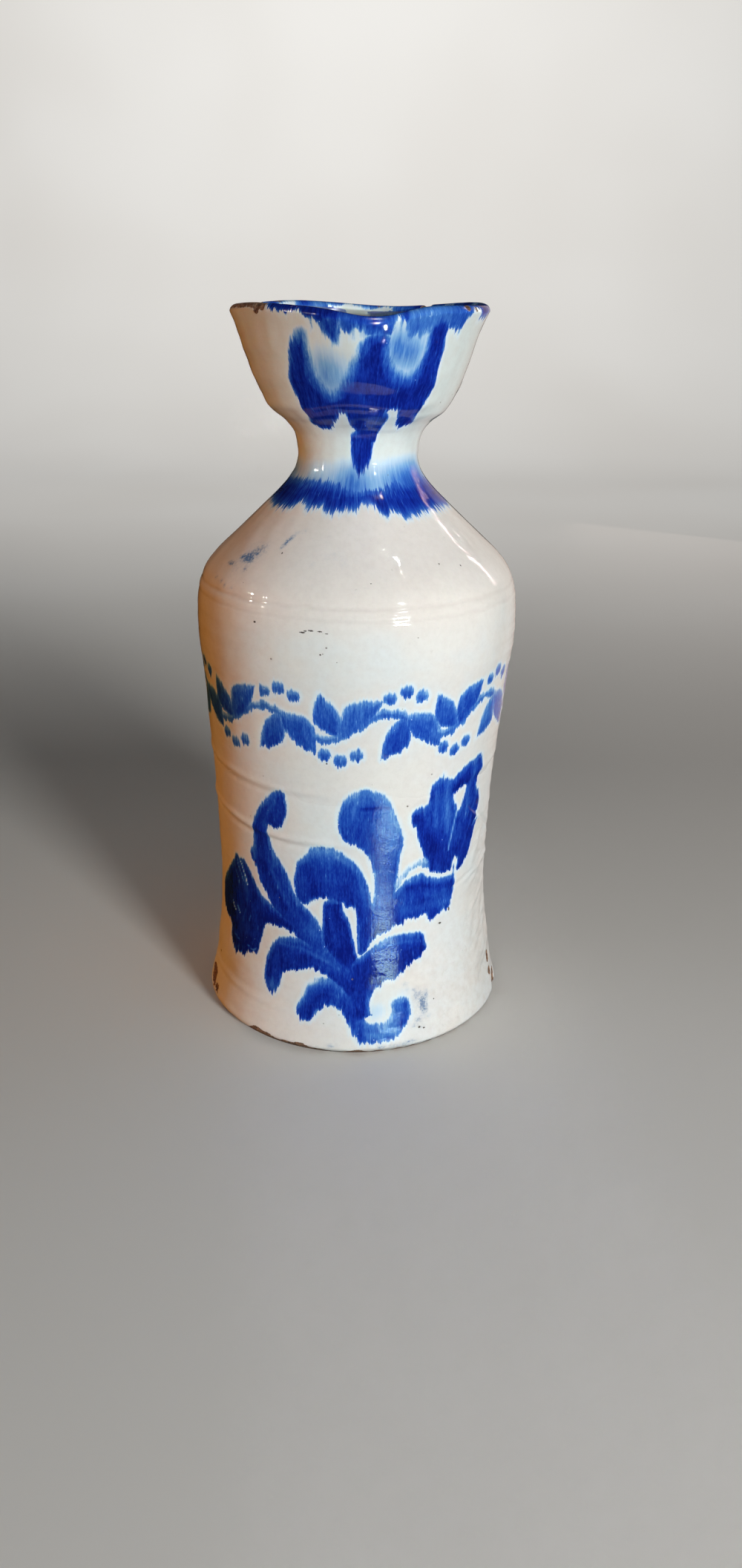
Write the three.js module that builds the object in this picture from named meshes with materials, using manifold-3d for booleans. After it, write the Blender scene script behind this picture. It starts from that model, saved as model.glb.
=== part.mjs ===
// A hand-thrown, tin-glazed earthenware wine jug with a pinched pouring lip and a strap handle.
//
// It is built as a potter builds it. Three sections are thrown apart: the lower body with its floor, the
// shoulder cone, and the neck with its mouth cup. Their edges are bevelled, so that stacked edges leave a V-shaped
// groove all round, and a coil of soft clay is pressed into each groove. The handle is a pulled strap whose two
// ends are set against the wall and rooted in wads of clay.
//
// Units are millimetres and +Z is up. The origin is the centre of the flat foot, where it stands on the table.
// The pouring lip points along -Y and the handle along +Y.

import * as THREE from 'three';
import { mergeVertices } from 'three/addons/utils/BufferGeometryUtils.js';
import Module from 'manifold-3d';

const wasm = await Module();
wasm.setup();

// Heights of the thrown sections, stacked from the table up
const lowerBodyHeight = 173; // table to the shoulder seam
const shoulderHeight = 36; // shoulder seam to the neck seam
const neckHeight = 18; // neck seam to the underside of the mouth cup
const cupHeight = 43; // underside of the mouth cup to the top of the rim

// Lower body, outside
const footEdgeRadius = 58.2;
const footFlareRadius = 60.6;
const footFlareHeight = 3.5;
const footFadeRadius = 57.3;
const footFadeHeight = 18;
const waistRadius = 54.2;
const waistHeight = 55;
const middleRadius = 56.4;
const middleHeight = 110;
const bellyRadius = 60.6;
const bellyBelowSeam = 13;

// Shoulder, outside
const shoulderSeamRadius = 59.4;
const shoulderTurnRadius = 55.2;
const shoulderTurnRise = 8; // from the seam up to where the wall has turned into the cone
const coneTopRadius = 31.6;
const coneTopDrop = 5; // from the neck seam down to the top of the straight cone

// Neck and mouth cup, outside
const neckSeamRadius = 26.6;
const neckRadius = 21.9;
const neckRise = 10.5; // from the neck seam up to the narrowest place
const cupFootRadius = 23.4;
const cupBowlRadius = 32.6;
const cupBowlRise = 9; // from the underside of the cup up to where its bowl is full
const cupSideRadius = 40.2;
const cupSideDrop = 17; // from the rim down
const rimRadius = 45.7;

// Wall thicknesses
const bodyWall = 6;
const neckWall = 5;
const lipWall = 4.6;
const floorThickness = 8;
const floorFillet = 8;

// The pinched lip
const lipPull = 6; // how far the lip is drawn out past the round rim
const lipDip = 4.4; // how far it is pressed below the rim
const lipHalfAngle = 21; // degrees
const cheekPinch = 1.2; // how far the rim is squeezed in beside the lip
const cheekAngle = 52; // degrees from the lip
const cheekHalfAngle = 20; // degrees

// The luted seams
const slipGap = 0.3; // fired slip between two pieces
const grooveDepth = 3;
const grooveHalfHeight = 2;
const bedFall = 1.5; // the bed of a seam slopes down inwards, so that the upper section centres itself
const coilCrown = 0.25; // how far the smoothed coil stands proud

// The strap handle and its wads
const handleTopDrop = 14; // rim down to the upper root
const handleBottomDrop = 27; // shoulder seam down to the lower root
const handleReach = 34; // centre line of the strap beyond the belly, at its control points
const handleRise = 30; // control point above the upper root
const handleFall = 34; // control point above the lower root
const handleSink = 5; // how far the strap's centre line runs into the wall before it is trimmed
const strapWidth = 24;
const strapRootWidth = 29;
const strapThickness = 9;
const thumbGroove = 1.1; // shallow groove along the strap's outer face
const wadMargin = 5; // wad beyond the strap, along the wall
const wadHeight = 7; // wad out from the wall

// Fineness of the curved surfaces
const aroundSegments = 48;
const strapSteps = 22;
const strapSides = 16;
const wadSegments = 20;
const profileStep = 9; // height between two rings on a plain stretch of wall

// Places that follow from the sizes above
const shoulderSeamZ = lowerBodyHeight;
const neckSeamZ = shoulderSeamZ + shoulderHeight;
const cupFootZ = neckSeamZ + neckHeight;
const rimZ = cupFootZ + cupHeight;
const lipRound = lipWall / 2;

// A radius against height curve through its stations. It is cubic, and monotone between them.
function smoothProfile(stations) {
  const secants = stations.slice(1).map((b, i) => (b.r - stations[i].r) / (b.z - stations[i].z));
  const slopes = stations.map((_, i) => {
    if (i === 0) return secants[0];
    if (i === stations.length - 1) return secants[i - 1];
    const [before, after] = [secants[i - 1], secants[i]];
    return before * after > 0 ? (2 * before * after) / (before + after) : 0;
  });
  return (z) => {
    let i = stations.findIndex((s) => s.z > z) - 1;
    if (i === -2) i = stations.length - 2;
    if (i === -1) i = 0;
    const [a, b] = [stations[i], stations[i + 1]];
    const run = b.z - a.z;
    const t = (z - a.z) / run;
    const rise = secants[i] * run;
    const startSlope = slopes[i] * run;
    const endSlope = slopes[i + 1] * run;
    const curl = startSlope + endSlope - 2 * rise;
    return a.r + t * (startSlope + t * (3 * rise - 2 * startSlope - endSlope + t * curl));
  };
}

const outerStations = [
  { z: 0, r: footEdgeRadius },
  { z: footFlareHeight, r: footFlareRadius },
  { z: footFadeHeight, r: footFadeRadius },
  { z: waistHeight, r: waistRadius },
  { z: middleHeight, r: middleRadius },
  { z: shoulderSeamZ - bellyBelowSeam, r: bellyRadius },
  { z: shoulderSeamZ, r: shoulderSeamRadius },
  { z: shoulderSeamZ + shoulderTurnRise, r: shoulderTurnRadius },
  { z: neckSeamZ - coneTopDrop, r: coneTopRadius },
  { z: neckSeamZ, r: neckSeamRadius },
  { z: neckSeamZ + neckRise, r: neckRadius },
  { z: cupFootZ, r: cupFootRadius },
  { z: cupFootZ + cupBowlRise, r: cupBowlRadius },
  { z: rimZ - cupSideDrop, r: cupSideRadius },
  { z: rimZ - lipRound, r: rimRadius },
];
const outerRadius = smoothProfile(outerStations);
const wallAt = smoothProfile([
  { z: 0, r: bodyWall },
  { z: shoulderSeamZ, r: bodyWall },
  { z: neckSeamZ + neckRise, r: neckWall },
  { z: rimZ - lipRound, r: lipWall },
]);

// The wall keeps its thickness square to the surface, so on a slope it is wider when measured level.
function innerRadius(z) {
  const half = 0.5;
  const slope = (outerRadius(z + half) - outerRadius(z - half)) / (2 * half);
  return outerRadius(z) - wallAt(z) * Math.hypot(1, slope);
}

// Points (radius, height) along a profile from one height to another: its stations, with even steps between them.
function stretch(radius, fromZ, toZ, marks = outerStations.map((s) => s.z)) {
  const [low, high] = [Math.min(fromZ, toZ), Math.max(fromZ, toZ)];
  const inside = marks.filter((z) => z > low + 1 && z < high - 1);
  const heights = [low, ...inside, high];
  const points = [];
  heights.slice(1).forEach((top, i) => {
    const bottom = heights[i];
    const steps = Math.max(1, Math.round((top - bottom) / profileStep));
    for (let k = 0; k < steps; k++) points.push(bottom + ((top - bottom) * k) / steps);
  });
  points.push(high);
  if (fromZ > toZ) points.reverse();
  return points.map((z) => new THREE.Vector2(radius(z), z));
}

// The edge of a section at a seam, from its outer face to its inner one. The lower section's edge has no lift, and
// the upper section's edge follows the same bed, lifted by the slip.
function bedOfSeam(seamZ, lift) {
  const apexRadius = outerRadius(seamZ) - grooveDepth;
  const innerZ = seamZ - bedFall + lift;
  return [new THREE.Vector2(apexRadius, seamZ + lift), new THREE.Vector2(innerRadius(innerZ), innerZ)];
}

// A body of revolution about Z. Its first column of points is at the front, where the lip is.
function revolve(profile, segments = aroundSegments) {
  return new THREE.LatheGeometry(profile, segments).rotateX(Math.PI / 2);
}

function smoothstep(t) {
  const s = THREE.MathUtils.clamp(t, 0, 1);
  return s * s * (3 - 2 * s);
}

function bump(angle, centre, halfAngle) {
  return Math.exp(-(((angle - centre) / halfAngle) ** 2));
}

// Draws the front of the mouth cup out and down into a lip, and squeezes the rim in on both sides of it.
function pinchLip(geometry) {
  const position = geometry.getAttribute('position');
  const point = new THREE.Vector3();
  for (let i = 0; i < position.count; i++) {
    point.fromBufferAttribute(position, i);
    const radius = Math.hypot(point.x, point.y);
    const angle = Math.abs(THREE.MathUtils.radToDeg(Math.atan2(point.x, -point.y)));
    const rise = smoothstep((point.z - cupFootZ) / (rimZ - cupFootZ));
    const lip = bump(angle, 0, lipHalfAngle);
    const cheek = bump(angle, cheekAngle, cheekHalfAngle);
    const grown = radius + rise * (lipPull * lip - cheekPinch * cheek);
    const share = radius > 0 ? grown / radius : 1;
    position.setXYZ(i, point.x * share, point.y * share, point.z - rise * rise * lipDip * lip);
  }
  return geometry;
}

function toManifold(geometry) {
  const bare = new THREE.BufferGeometry();
  bare.setAttribute('position', geometry.getAttribute('position'));
  bare.setIndex(geometry.index);
  const merged = mergeVertices(bare, 1e-4);
  return new wasm.Manifold(
    new wasm.Mesh({
      numProp: 3,
      vertProperties: merged.getAttribute('position').array,
      triVerts: new Uint32Array(merged.index.array),
    }),
  );
}

function toGeometry(manifold) {
  const mesh = manifold.getMesh();
  const geometry = new THREE.BufferGeometry();
  geometry.setAttribute('position', new THREE.BufferAttribute(new Float32Array(mesh.vertProperties), 3));
  geometry.setIndex([...mesh.triVerts]);
  geometry.computeVertexNormals();
  return geometry;
}

// The lower body: floor, flared foot, waist and belly, up to the bevelled edge of the shoulder seam.
function lowerBody() {
  const filletTopZ = floorThickness + floorFillet;
  const filletCentreRadius = innerRadius(filletTopZ) - floorFillet;
  const fillet = [0, 1, 2, 3].map((k) => {
    const turn = (k / 3) * (Math.PI / 2);
    return new THREE.Vector2(
      filletCentreRadius + floorFillet * Math.cos(turn),
      filletTopZ - floorFillet * Math.sin(turn),
    );
  });
  return revolve([
    new THREE.Vector2(0, 0),
    ...stretch(outerRadius, 0, shoulderSeamZ - grooveHalfHeight),
    ...bedOfSeam(shoulderSeamZ, 0),
    ...stretch(innerRadius, shoulderSeamZ - bedFall, filletTopZ).slice(1, -1),
    ...fillet,
    new THREE.Vector2(0, floorThickness),
  ]);
}

// The shoulder cone, from the shoulder seam to the bevelled edge of the neck seam.
function shoulder() {
  const foot = bedOfSeam(shoulderSeamZ, slipGap);
  const profile = [
    ...foot.slice().reverse(),
    ...stretch(outerRadius, shoulderSeamZ + grooveHalfHeight, neckSeamZ - grooveHalfHeight),
    ...bedOfSeam(neckSeamZ, 0),
    ...stretch(innerRadius, neckSeamZ - bedFall, foot[1].y).slice(1),
  ];
  return revolve(profile);
}

// The neck and the mouth cup, up to the rounded rim and down again inside.
function neckAndMouth() {
  const foot = bedOfSeam(neckSeamZ, slipGap);
  const lipCentreZ = rimZ - lipRound;
  const lipInnerRadius = innerRadius(lipCentreZ);
  const lipMiddle = (rimRadius + lipInnerRadius) / 2;
  const lipHalf = (rimRadius - lipInnerRadius) / 2;
  const lip = [1, 2, 3].map((k) => {
    const turn = (k / 4) * Math.PI;
    return new THREE.Vector2(lipMiddle + lipHalf * Math.cos(turn), lipCentreZ + lipRound * Math.sin(turn));
  });
  const profile = [
    ...foot.slice().reverse(),
    ...stretch(outerRadius, neckSeamZ + grooveHalfHeight, lipCentreZ),
    ...lip,
    ...stretch(innerRadius, lipCentreZ, foot[1].y),
  ];
  return pinchLip(revolve(profile));
}

// The coil of clay that fills the groove of a seam, smoothed nearly level with the wall.
function seamCoil(seamZ) {
  const clearance = slipGap * Math.hypot(1, grooveHalfHeight / grooveDepth);
  const halfHeight = grooveHalfHeight - clearance;
  const depth = grooveDepth * (halfHeight / grooveHalfHeight);
  const apex = new THREE.Vector2(outerRadius(seamZ) - depth, seamZ + slipGap / 2);
  return revolve([
    apex,
    new THREE.Vector2(outerRadius(seamZ - halfHeight), seamZ - halfHeight),
    new THREE.Vector2(outerRadius(seamZ) + coilCrown, seamZ + slipGap / 2),
    new THREE.Vector2(outerRadius(seamZ + halfHeight), seamZ + halfHeight + slipGap),
    apex,
  ]);
}

// Everything inside the jug's outer face, grown by the slip: it trims what is set against the wall.
function wallTrimmer() {
  const faces = stretch(outerRadius, 0, rimZ - lipRound).map((p) => new THREE.Vector2(p.x + slipGap, p.y));
  const profile = [
    new THREE.Vector2(0, 0),
    ...faces,
    new THREE.Vector2(rimRadius + slipGap, rimZ),
    new THREE.Vector2(0, rimZ),
  ];
  return toManifold(revolve(profile));
}

const topRootZ = rimZ - handleTopDrop;
const bottomRootZ = shoulderSeamZ - handleBottomDrop;
const handleLine = new THREE.CubicBezierCurve3(
  new THREE.Vector3(0, outerRadius(topRootZ) - handleSink, topRootZ - handleSink / 2),
  new THREE.Vector3(0, bellyRadius + handleReach, topRootZ + handleRise),
  new THREE.Vector3(0, bellyRadius + handleReach, bottomRootZ + handleFall),
  new THREE.Vector3(0, outerRadius(bottomRootZ) - handleSink, bottomRootZ - handleSink / 2),
);

// A strap swept along the handle's line: broad at both roots, with a groove for the thumb along its outer face.
// grown is how much larger than the strap the body is on every side.
function strap(grown) {
  const positions = [];
  const indices = [];
  const side = new THREE.Vector3(1, 0, 0);
  for (let i = 0; i <= strapSteps; i++) {
    const t = i / strapSteps;
    const centre = handleLine.getPointAt(t);
    const outward = new THREE.Vector3().crossVectors(side, handleLine.getTangentAt(t));
    const root = (2 * t - 1) ** 4;
    const halfWidth = THREE.MathUtils.lerp(strapWidth, strapRootWidth, root) / 2 + grown;
    const halfThickness = strapThickness / 2 + grown;
    for (let k = 0; k < strapSides; k++) {
      const turn = (k / strapSides) * 2 * Math.PI;
      const across = Math.sign(Math.cos(turn)) * Math.abs(Math.cos(turn)) ** 0.75 * halfWidth;
      const groove = Math.sin(turn) > 0 ? thumbGroove * bump(across / halfWidth, 0, 0.4) : 0;
      const out = Math.sin(turn) * halfThickness - groove * (1 - root);
      const p = centre.clone().addScaledVector(side, across).addScaledVector(outward, out);
      positions.push(p.x, p.y, p.z);
    }
  }
  for (let i = 0; i < strapSteps; i++) {
    for (let k = 0; k < strapSides; k++) {
      const next = (k + 1) % strapSides;
      const [a, b] = [i * strapSides + k, i * strapSides + next];
      const [c, d] = [a + strapSides, b + strapSides];
      indices.push(a, c, b, b, c, d);
    }
  }
  const lastRing = strapSteps * strapSides;
  for (let k = 1; k < strapSides - 1; k++) {
    indices.push(0, k, k + 1, lastRing, lastRing + k + 1, lastRing + k);
  }
  const geometry = new THREE.BufferGeometry();
  geometry.setAttribute('position', new THREE.Float32BufferAttribute(positions, 3));
  geometry.setIndex(indices);
  return geometry;
}

// The wad of clay pressed round one root of the handle: a low mound on the wall that the strap comes out of.
function rootWad(rootZ, trimmer, room) {
  const lean = Math.atan(outerRadius(rootZ + 1) - outerRadius(rootZ - 1)) / 2;
  const mound = new THREE.SphereGeometry(1, wadSegments, wadSegments / 2)
    .scale(strapRootWidth / 2 + wadMargin, wadHeight, strapThickness / 2 + wadMargin)
    .rotateX(-lean)
    .translate(0, outerRadius(rootZ), rootZ);
  return toGeometry(toManifold(mound).subtract(trimmer).subtract(room));
}

const trimmer = wallTrimmer();
const handleRoom = toManifold(strap(slipGap));

// Finishes: the tin glaze over the thrown sections, the same glaze on the handle, and the clay of the joints.
function glaze(color) {
  return new THREE.MeshStandardMaterial({ color, roughness: 0.18, metalness: 0 });
}
const whiteGlaze = glaze(0xdcd6cd);
const handleGlaze = glaze(0xd8d2c8);
const jointClay = new THREE.MeshStandardMaterial({ color: 0xcdbfae, roughness: 0.4, metalness: 0 });

function piece(name, geometry, material) {
  const mesh = new THREE.Mesh(geometry, material);
  mesh.name = name;
  return mesh;
}

const jug = new THREE.Group();
jug.add(
  piece('lower_body', lowerBody(), whiteGlaze),
  piece('shoulder', shoulder(), whiteGlaze),
  piece('neck_and_mouth', neckAndMouth(), whiteGlaze),
  piece('shoulder_seam_coil', seamCoil(shoulderSeamZ), jointClay),
  piece('neck_seam_coil', seamCoil(neckSeamZ), jointClay),
  piece('strap_handle', toGeometry(toManifold(strap(0)).subtract(trimmer)), handleGlaze),
  piece('handle_top_wad', rootWad(topRootZ, trimmer, handleRoom), jointClay),
  piece('handle_bottom_wad', rootWad(bottomRootZ, trimmer, handleRoom), jointClay),
);

export default jug;
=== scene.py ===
# A hand-thrown, tin-glazed earthenware jug, painted with a brush in cobalt blue.
#
# Lengths are millimetres, and each mesh is turned into metres as it is made; only lights and the camera are
# placed in metres. Places on the wall are (across, height): millimetres round the jug from the middle of its
# front, on a stated radius, and height above the table. The lip is at the front, -Y, and the handle at +Y.

import math

import bpy
import numpy as np
from mathutils import Matrix, Vector


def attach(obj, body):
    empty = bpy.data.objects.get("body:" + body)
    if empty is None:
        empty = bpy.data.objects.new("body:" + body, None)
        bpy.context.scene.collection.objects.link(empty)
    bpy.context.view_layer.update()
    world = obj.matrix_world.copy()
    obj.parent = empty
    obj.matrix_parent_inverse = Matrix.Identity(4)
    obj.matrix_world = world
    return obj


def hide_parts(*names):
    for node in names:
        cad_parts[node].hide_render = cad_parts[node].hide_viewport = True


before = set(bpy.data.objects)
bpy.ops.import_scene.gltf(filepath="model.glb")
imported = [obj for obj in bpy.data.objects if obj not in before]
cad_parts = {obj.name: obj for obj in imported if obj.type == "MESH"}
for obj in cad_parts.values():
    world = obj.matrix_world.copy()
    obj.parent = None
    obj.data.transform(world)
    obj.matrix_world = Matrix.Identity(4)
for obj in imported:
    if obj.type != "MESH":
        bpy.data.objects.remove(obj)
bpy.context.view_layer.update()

MM = 0.001

# The outer profile, as (height, radius)
OUTSIDE = [
    (0, 58.2), (3, 60.6), (7, 59.7), (12, 58.5), (18, 57.3), (25, 56.6), (33, 55.4), (43, 54.6), (55, 54.2),
    (70, 54.4), (85, 54.9), (100, 55.7), (112, 56.6), (124, 57.7), (134, 58.4), (144, 59.3), (152, 60.3),
    (160, 60.6), (166, 60.4), (172, 59.7), (178, 57.5), (184, 52.9), (190, 46.5), (196, 40), (202, 33.6),
    (207, 28.5), (211, 25.1), (215, 22.8), (219, 21.9), (223, 22.2), (227, 23.2), (231, 26.2), (235, 31.4),
    (241, 35.2), (247, 37.9), (253, 40.2), (259, 42.1), (264, 44), (267.7, 45.6),
]

# How far the wall leans off its axis to the right, as (height, millimetres)
LEAN = [
    (0, -0.2), (20, -0.1), (50, -0.6), (110, -0.5), (130, 0), (160, 0.3), (235, 0.3), (255, 0.1),
    (270, 0.6),
]
WALL = [(0, 6), (173, 6), (219.5, 5), (267.7, 4.6)]
SEAM = 173
NECK_SEAM = 209
CUP_FOOT = 227
RIM = 270
LIP_ROUND = 2.3
WALL_TOP = RIM - LIP_ROUND
FLOOR = 8
FLOOR_FILLET = 8

# The pinched lip: angles in degrees from the front
LIP_PULL = 6
LIP_SPREAD = 21
LIP_DIP = 2.8
DIP_MIDDLE = 6
DIP_SPREAD = 16
CHEEK_PINCH = 1.2
CHEEK_PLACE = 52
CHEEK_SPREAD = 20
OVAL = 0.004
RIM_WOBBLE = 0.45

# The strap handle: heights of its two roots, and how far out it reaches from the jug's axis
TOP_ROOT = 256
BOTTOM_ROOT = 146
HANDLE_REACH = 94.6
HANDLE_ROWS = 190
HANDLE_COLUMNS = 72

# Mesh fineness: steps along the wall in millimetres, and round the front and the back in degrees
ROW_STEP = 0.7
CUP_INSIDE_STEP = 0.9
BODY_INSIDE_STEP = 2.4
CUP_INSIDE_FOOT = 238
FRONT_STEP = 0.7
FRONT_REACH = 98
BACK_STEP = 1.5

# The radii on which (across, height) is measured, and the heights between which the paint uses them
BODY_RADIUS = 57
CUP_RADIUS = 38
BODY_PAINT_TOP = 176
CUP_PAINT_FOOT = 208
RIM_PAINT_FOOT = 252
NEAR_RIM = 250

# Kinds of ring in the jug's skin
BASE, OUTER, LIP, INNER = range(4)

# The heights between which the neck is combed by the brush, where the rim's combing starts, and how strong
# the combing is in each zone
NECK_ZONE = (190, 226)
RIM_ZONE_FOOT = 255
COMB_NECK, COMB_RIM, COMB_BODY = 2.1, 1.3, 1.15

# How deep in the blue a point without paint lies, and a place that is off the painted wall
NO_INK = -7.0
OFF = 999.0
INKS = ("ink_a", "ink_b", "ink_c", "ink_d")


def smooth_curve(stations):
    """A monotone cubic through (place, value) stations, for one number or a whole array."""
    at, value = np.array(stations, float).T
    run = np.diff(at)
    secant = np.diff(value) / run
    slope = np.concatenate([secant[:1], np.zeros(len(at) - 2), secant[-1:]])
    same_way = secant[:-1] * secant[1:] > 0
    total = np.where(same_way, secant[:-1] + secant[1:], 1)
    slope[1:-1] = np.where(same_way, 2 * secant[:-1] * secant[1:] / total, 0)

    def curve(x):
        x = np.clip(x, at[0], at[-1])
        i = np.clip(np.searchsorted(at, x, "right") - 1, 0, len(run) - 1)
        t = (x - at[i]) / run[i]
        rise, start, end = secant[i] * run[i], slope[i] * run[i], slope[i + 1] * run[i]
        return value[i] + t * (start + t * (3 * rise - 2 * start - end + t * (start + end - 2 * rise)))

    return curve


outer_radius = smooth_curve(OUTSIDE)
wall_at = smooth_curve(WALL)
lean_at = smooth_curve(LEAN)


def smoothstep(low, high, x):
    t = np.clip((x - low) / (high - low), 0, 1)
    return t * t * (3 - 2 * t)


def bell(x, centre, spread):
    return np.exp(-(((x - centre) / spread) ** 2))


def slope_at(height):
    above, below = height + 0.5, height - 0.5
    run = np.clip(above, 0, WALL_TOP) - np.clip(below, 0, WALL_TOP)
    return (outer_radius(above) - outer_radius(below)) / run


def inner_radius(height):
    return outer_radius(height) - wall_at(height) * np.hypot(1, slope_at(height))


def even_heights(radius, low, high, step):
    """Heights whose rings lie step millimetres apart along the wall."""
    fine = np.linspace(low, high, 3000)
    along = np.concatenate([[0], np.cumsum(np.hypot(np.diff(fine), np.diff(radius(fine))))])
    count = max(2, round(along[-1] / step))
    return np.interp(np.linspace(0, along[-1], count + 1), along, fine)


def waves(angle, height, seed, turns, rate, count=9):
    """A gentle unevenness of about plus or minus 1: cosines that close on themselves round the jug."""
    rng = np.random.default_rng(seed)
    total = np.zeros(np.broadcast(angle, height).shape)
    for _ in range(count):
        m = rng.integers(0, turns + 1)
        total = total + np.cos(m * angle + rng.normal(0, rate) * height + rng.uniform(0, 2 * math.pi))
    return total / math.sqrt(count / 2)


def round_waves(angle, seed, turns):
    """The same unevenness, where it only varies round the jug."""
    return waves(angle, 0, seed, turns, 0)


# Throwing rings, as (how proud, how far apart)
RINGS = [(0.04, 6.3), (0.015, 2.7)]

# Throwing ridges: (across, height) at two ends, how high the ridge stands, and how wide it is
RIDGES = [
    ((-90, 92.5), (0, 85.5), 0.6, 1.4), ((-90, 111), (-5, 106), 0.4, 1.4),
    ((20, 104), (88, 110), 0.28, 1.8), ((25, 84), (88, 88), 0.22, 1.8), ((15, 62), (88, 66), 0.22, 2),
    ((-90, 71), (-30, 66), 0.16, 1.5), ((-90, 17), (10, 15.5), 0.14, 1.2),
    ((-90, 238), (60, 238.8), 0.42, 1.7), ((-90, 247.2), (60, 246.4), 0.42, 2.6),
    ((-90, 258), (60, 257), 0.42, 3), ((50, 95), (84, 72), -0.5, 1), ((42, 61.6), (84, 67.6), -0.42, 1),
    ((-24, 231.2), (40, 231), 0.17, 0.9), ((-24, 235.4), (40, 235.8), 0.15, 0.9),
]

# Small lumps in the glaze, as (across, height, radius, how proud)
LUMPS = [
    (18.4, 188.3, 2.2, 0.22), (16.2, 187, 1.2, 0.1), (20.8, 186.4, 1.1, 0.08), (17.6, 184.6, 0.9, 0.06),
    (-80, 11, 5, 0.7), (58, 243, 2, 0.3),
]

# The two edges of the seam round the shoulder, as (height, how deep)
SEAM_EDGES = [(SEAM + 2.5, 0.31), (SEAM - 1.4, 0.24)]


def relief(angle, height):
    """How far the outer wall stands proud of its smooth profile: rings, ridges, lumps and seam edges."""
    across = angle * BODY_RADIUS
    turn = angle / (2 * math.pi)
    on_shoulder = smoothstep(176, 182, height) * smoothstep(214, 206, height)
    behind_spray = bell(across, 14, 16) * smoothstep(108, 96, height)
    rough_side = smoothstep(48, 64, across) * smoothstep(92, 76, height) * smoothstep(8, 22, height)
    calm = 1 - 0.7 * on_shoulder - 0.85 * behind_spray
    patch = 0.55 + 0.45 * waves(angle, height, 5, 3, 0.04)
    rings = sum(proud * np.sin(2 * math.pi * (height / apart + turn)) for proud, apart in RINGS)
    total = calm * patch * rings
    total = total + 0.08 * waves(angle, height, 8, 9, 0.1) + 0.022 * waves(angle, height, 9, 34, 0.4)
    total = total + 0.15 * rough_side * waves(angle, height, 14, 44, 0.5)
    sway = 0.5 * round_waves(angle, 12, 8)
    for (s0, z0), (s1, z1), proud, width in RIDGES:
        share = np.clip((across - s0) / (s1 - s0), 0, 1)
        fade = smoothstep(0, 0.12, share) * smoothstep(1, 0.85, share)
        line = z0 + (z1 - z0) * share + sway
        ridge = bell(height, line, width) - 0.6 * bell(height, line - 1.6 * width, width)
        total = total + proud * fade * ridge
    for s, z, radius, proud in LUMPS:
        nominal = BODY_RADIUS if z < NECK_SEAM else CUP_RADIUS
        total = total + proud * np.exp(-((angle * nominal - s) ** 2 + (height - z) ** 2) / radius**2)
    wander = 0.25 * round_waves(angle, 21, 6)
    keep = (0.65 + 0.35 * round_waves(angle, 23, 11)) * (1 - 0.6 * bell(across, 15, 11))
    for line, depth in SEAM_EDGES:
        total = total - depth * keep * bell(height, line + wander, 1.05)
    return total


# Chips, as (across, height, radius, depth): clay knocked or flaked off
CHIPS = [
    (-76, 8, 5, 1.2), (-70, 5.6, 2, 0.7), (77.5, 17, 4, 1.1), (76, 11, 2.2, 0.7), (79.5, 5.6, 4.6, 1.2),
    (-74, 20, 1, 0.4), (-120, 1.5, 2.6, 0.8), (-150, 2, 3, 0.9), (118, 1.5, 2.4, 0.7), (150, 2, 2.8, 0.9),
]
RIM_CHIPS = [
    (-33.5, 268.4, 1.6, 0.9), (-30.6, 268.6, 1.2, 0.7), (37, 269.5, 1.3, 0.7), (41, 268.8, 0.9, 0.5),
    (-80, 269, 2, 0.9), (95, 269, 2.2, 1),
]


def chip_marks(angle, height, marks, nominal):
    """Dents left by chips: depth in millimetres, and how bare the clay is, from 0 to 1."""
    depth = np.zeros(np.broadcast(angle, height).shape)
    bare = np.zeros_like(depth)
    for i, (s, z, radius, deep) in enumerate(marks):
        ragged = 1 + 0.28 * waves(angle * 9, height, 60 + i, 3, 0.9, 5)
        far = np.hypot(angle * nominal - s, height - z) / (radius * np.clip(ragged, 0.5, 1.6))
        depth = np.maximum(depth, deep * (1 - smoothstep(0.35, 1, far)))
        bare = np.maximum(bare, 1 - smoothstep(0.7, 1, far))
    return depth, bare


def place(angle, radius, height, proud):
    """The wall's points, from their place on the ideal jug and how far they stand proud of it."""
    slope = slope_at(np.clip(height, 1, WALL_TOP - 1))
    steep = np.hypot(1, slope)
    radius = radius + proud / steep
    height = height - proud * slope / steep
    rise = smoothstep(CUP_FOOT, RIM, height)
    degrees = np.degrees(angle)
    pinch = CHEEK_PINCH * bell(np.abs(degrees), CHEEK_PLACE, CHEEK_SPREAD)
    radius = radius + rise * (LIP_PULL * bell(degrees, 0, LIP_SPREAD) - pinch)
    radius = radius * (1 + OVAL * np.cos(2 * angle + 0.6) * smoothstep(0, 60, height))
    wobble = RIM_WOBBLE * round_waves(angle, 31, 4) * rise**3
    height = height - rise**2 * LIP_DIP * bell(degrees, DIP_MIDDLE, DIP_SPREAD) + wobble
    x = radius * np.sin(angle) + lean_at(height)
    y = -radius * np.cos(angle)
    return np.stack(np.broadcast_arrays(x, y, height), -1)


def rounded(outline, steps=4):
    """A closed outline's corners joined by a smooth curve through every point."""
    p = np.array(outline, float)
    before, after, beyond = np.roll(p, 1, 0), np.roll(p, -1, 0), np.roll(p, -2, 0)
    t = (np.arange(steps) / steps)[:, None, None]
    curve = 0.5 * (
        2 * p + (after - before) * t + (2 * before - 5 * p + 4 * after - beyond) * t**2
        + (3 * p - before - 3 * after + beyond) * t**3
    )
    return curve.transpose(1, 0, 2).reshape(-1, 2)


def close_to(points, across, height, reach):
    """Which points of the wall lie within reach of a box round these points, and where they are."""
    low, high = np.min(points, 0) - reach, np.max(points, 0) + reach
    near = (across > low[0]) & (across < high[0]) & (height > low[1]) & (height < high[1])
    return near, np.stack([across[near], height[near]], -1)


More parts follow.
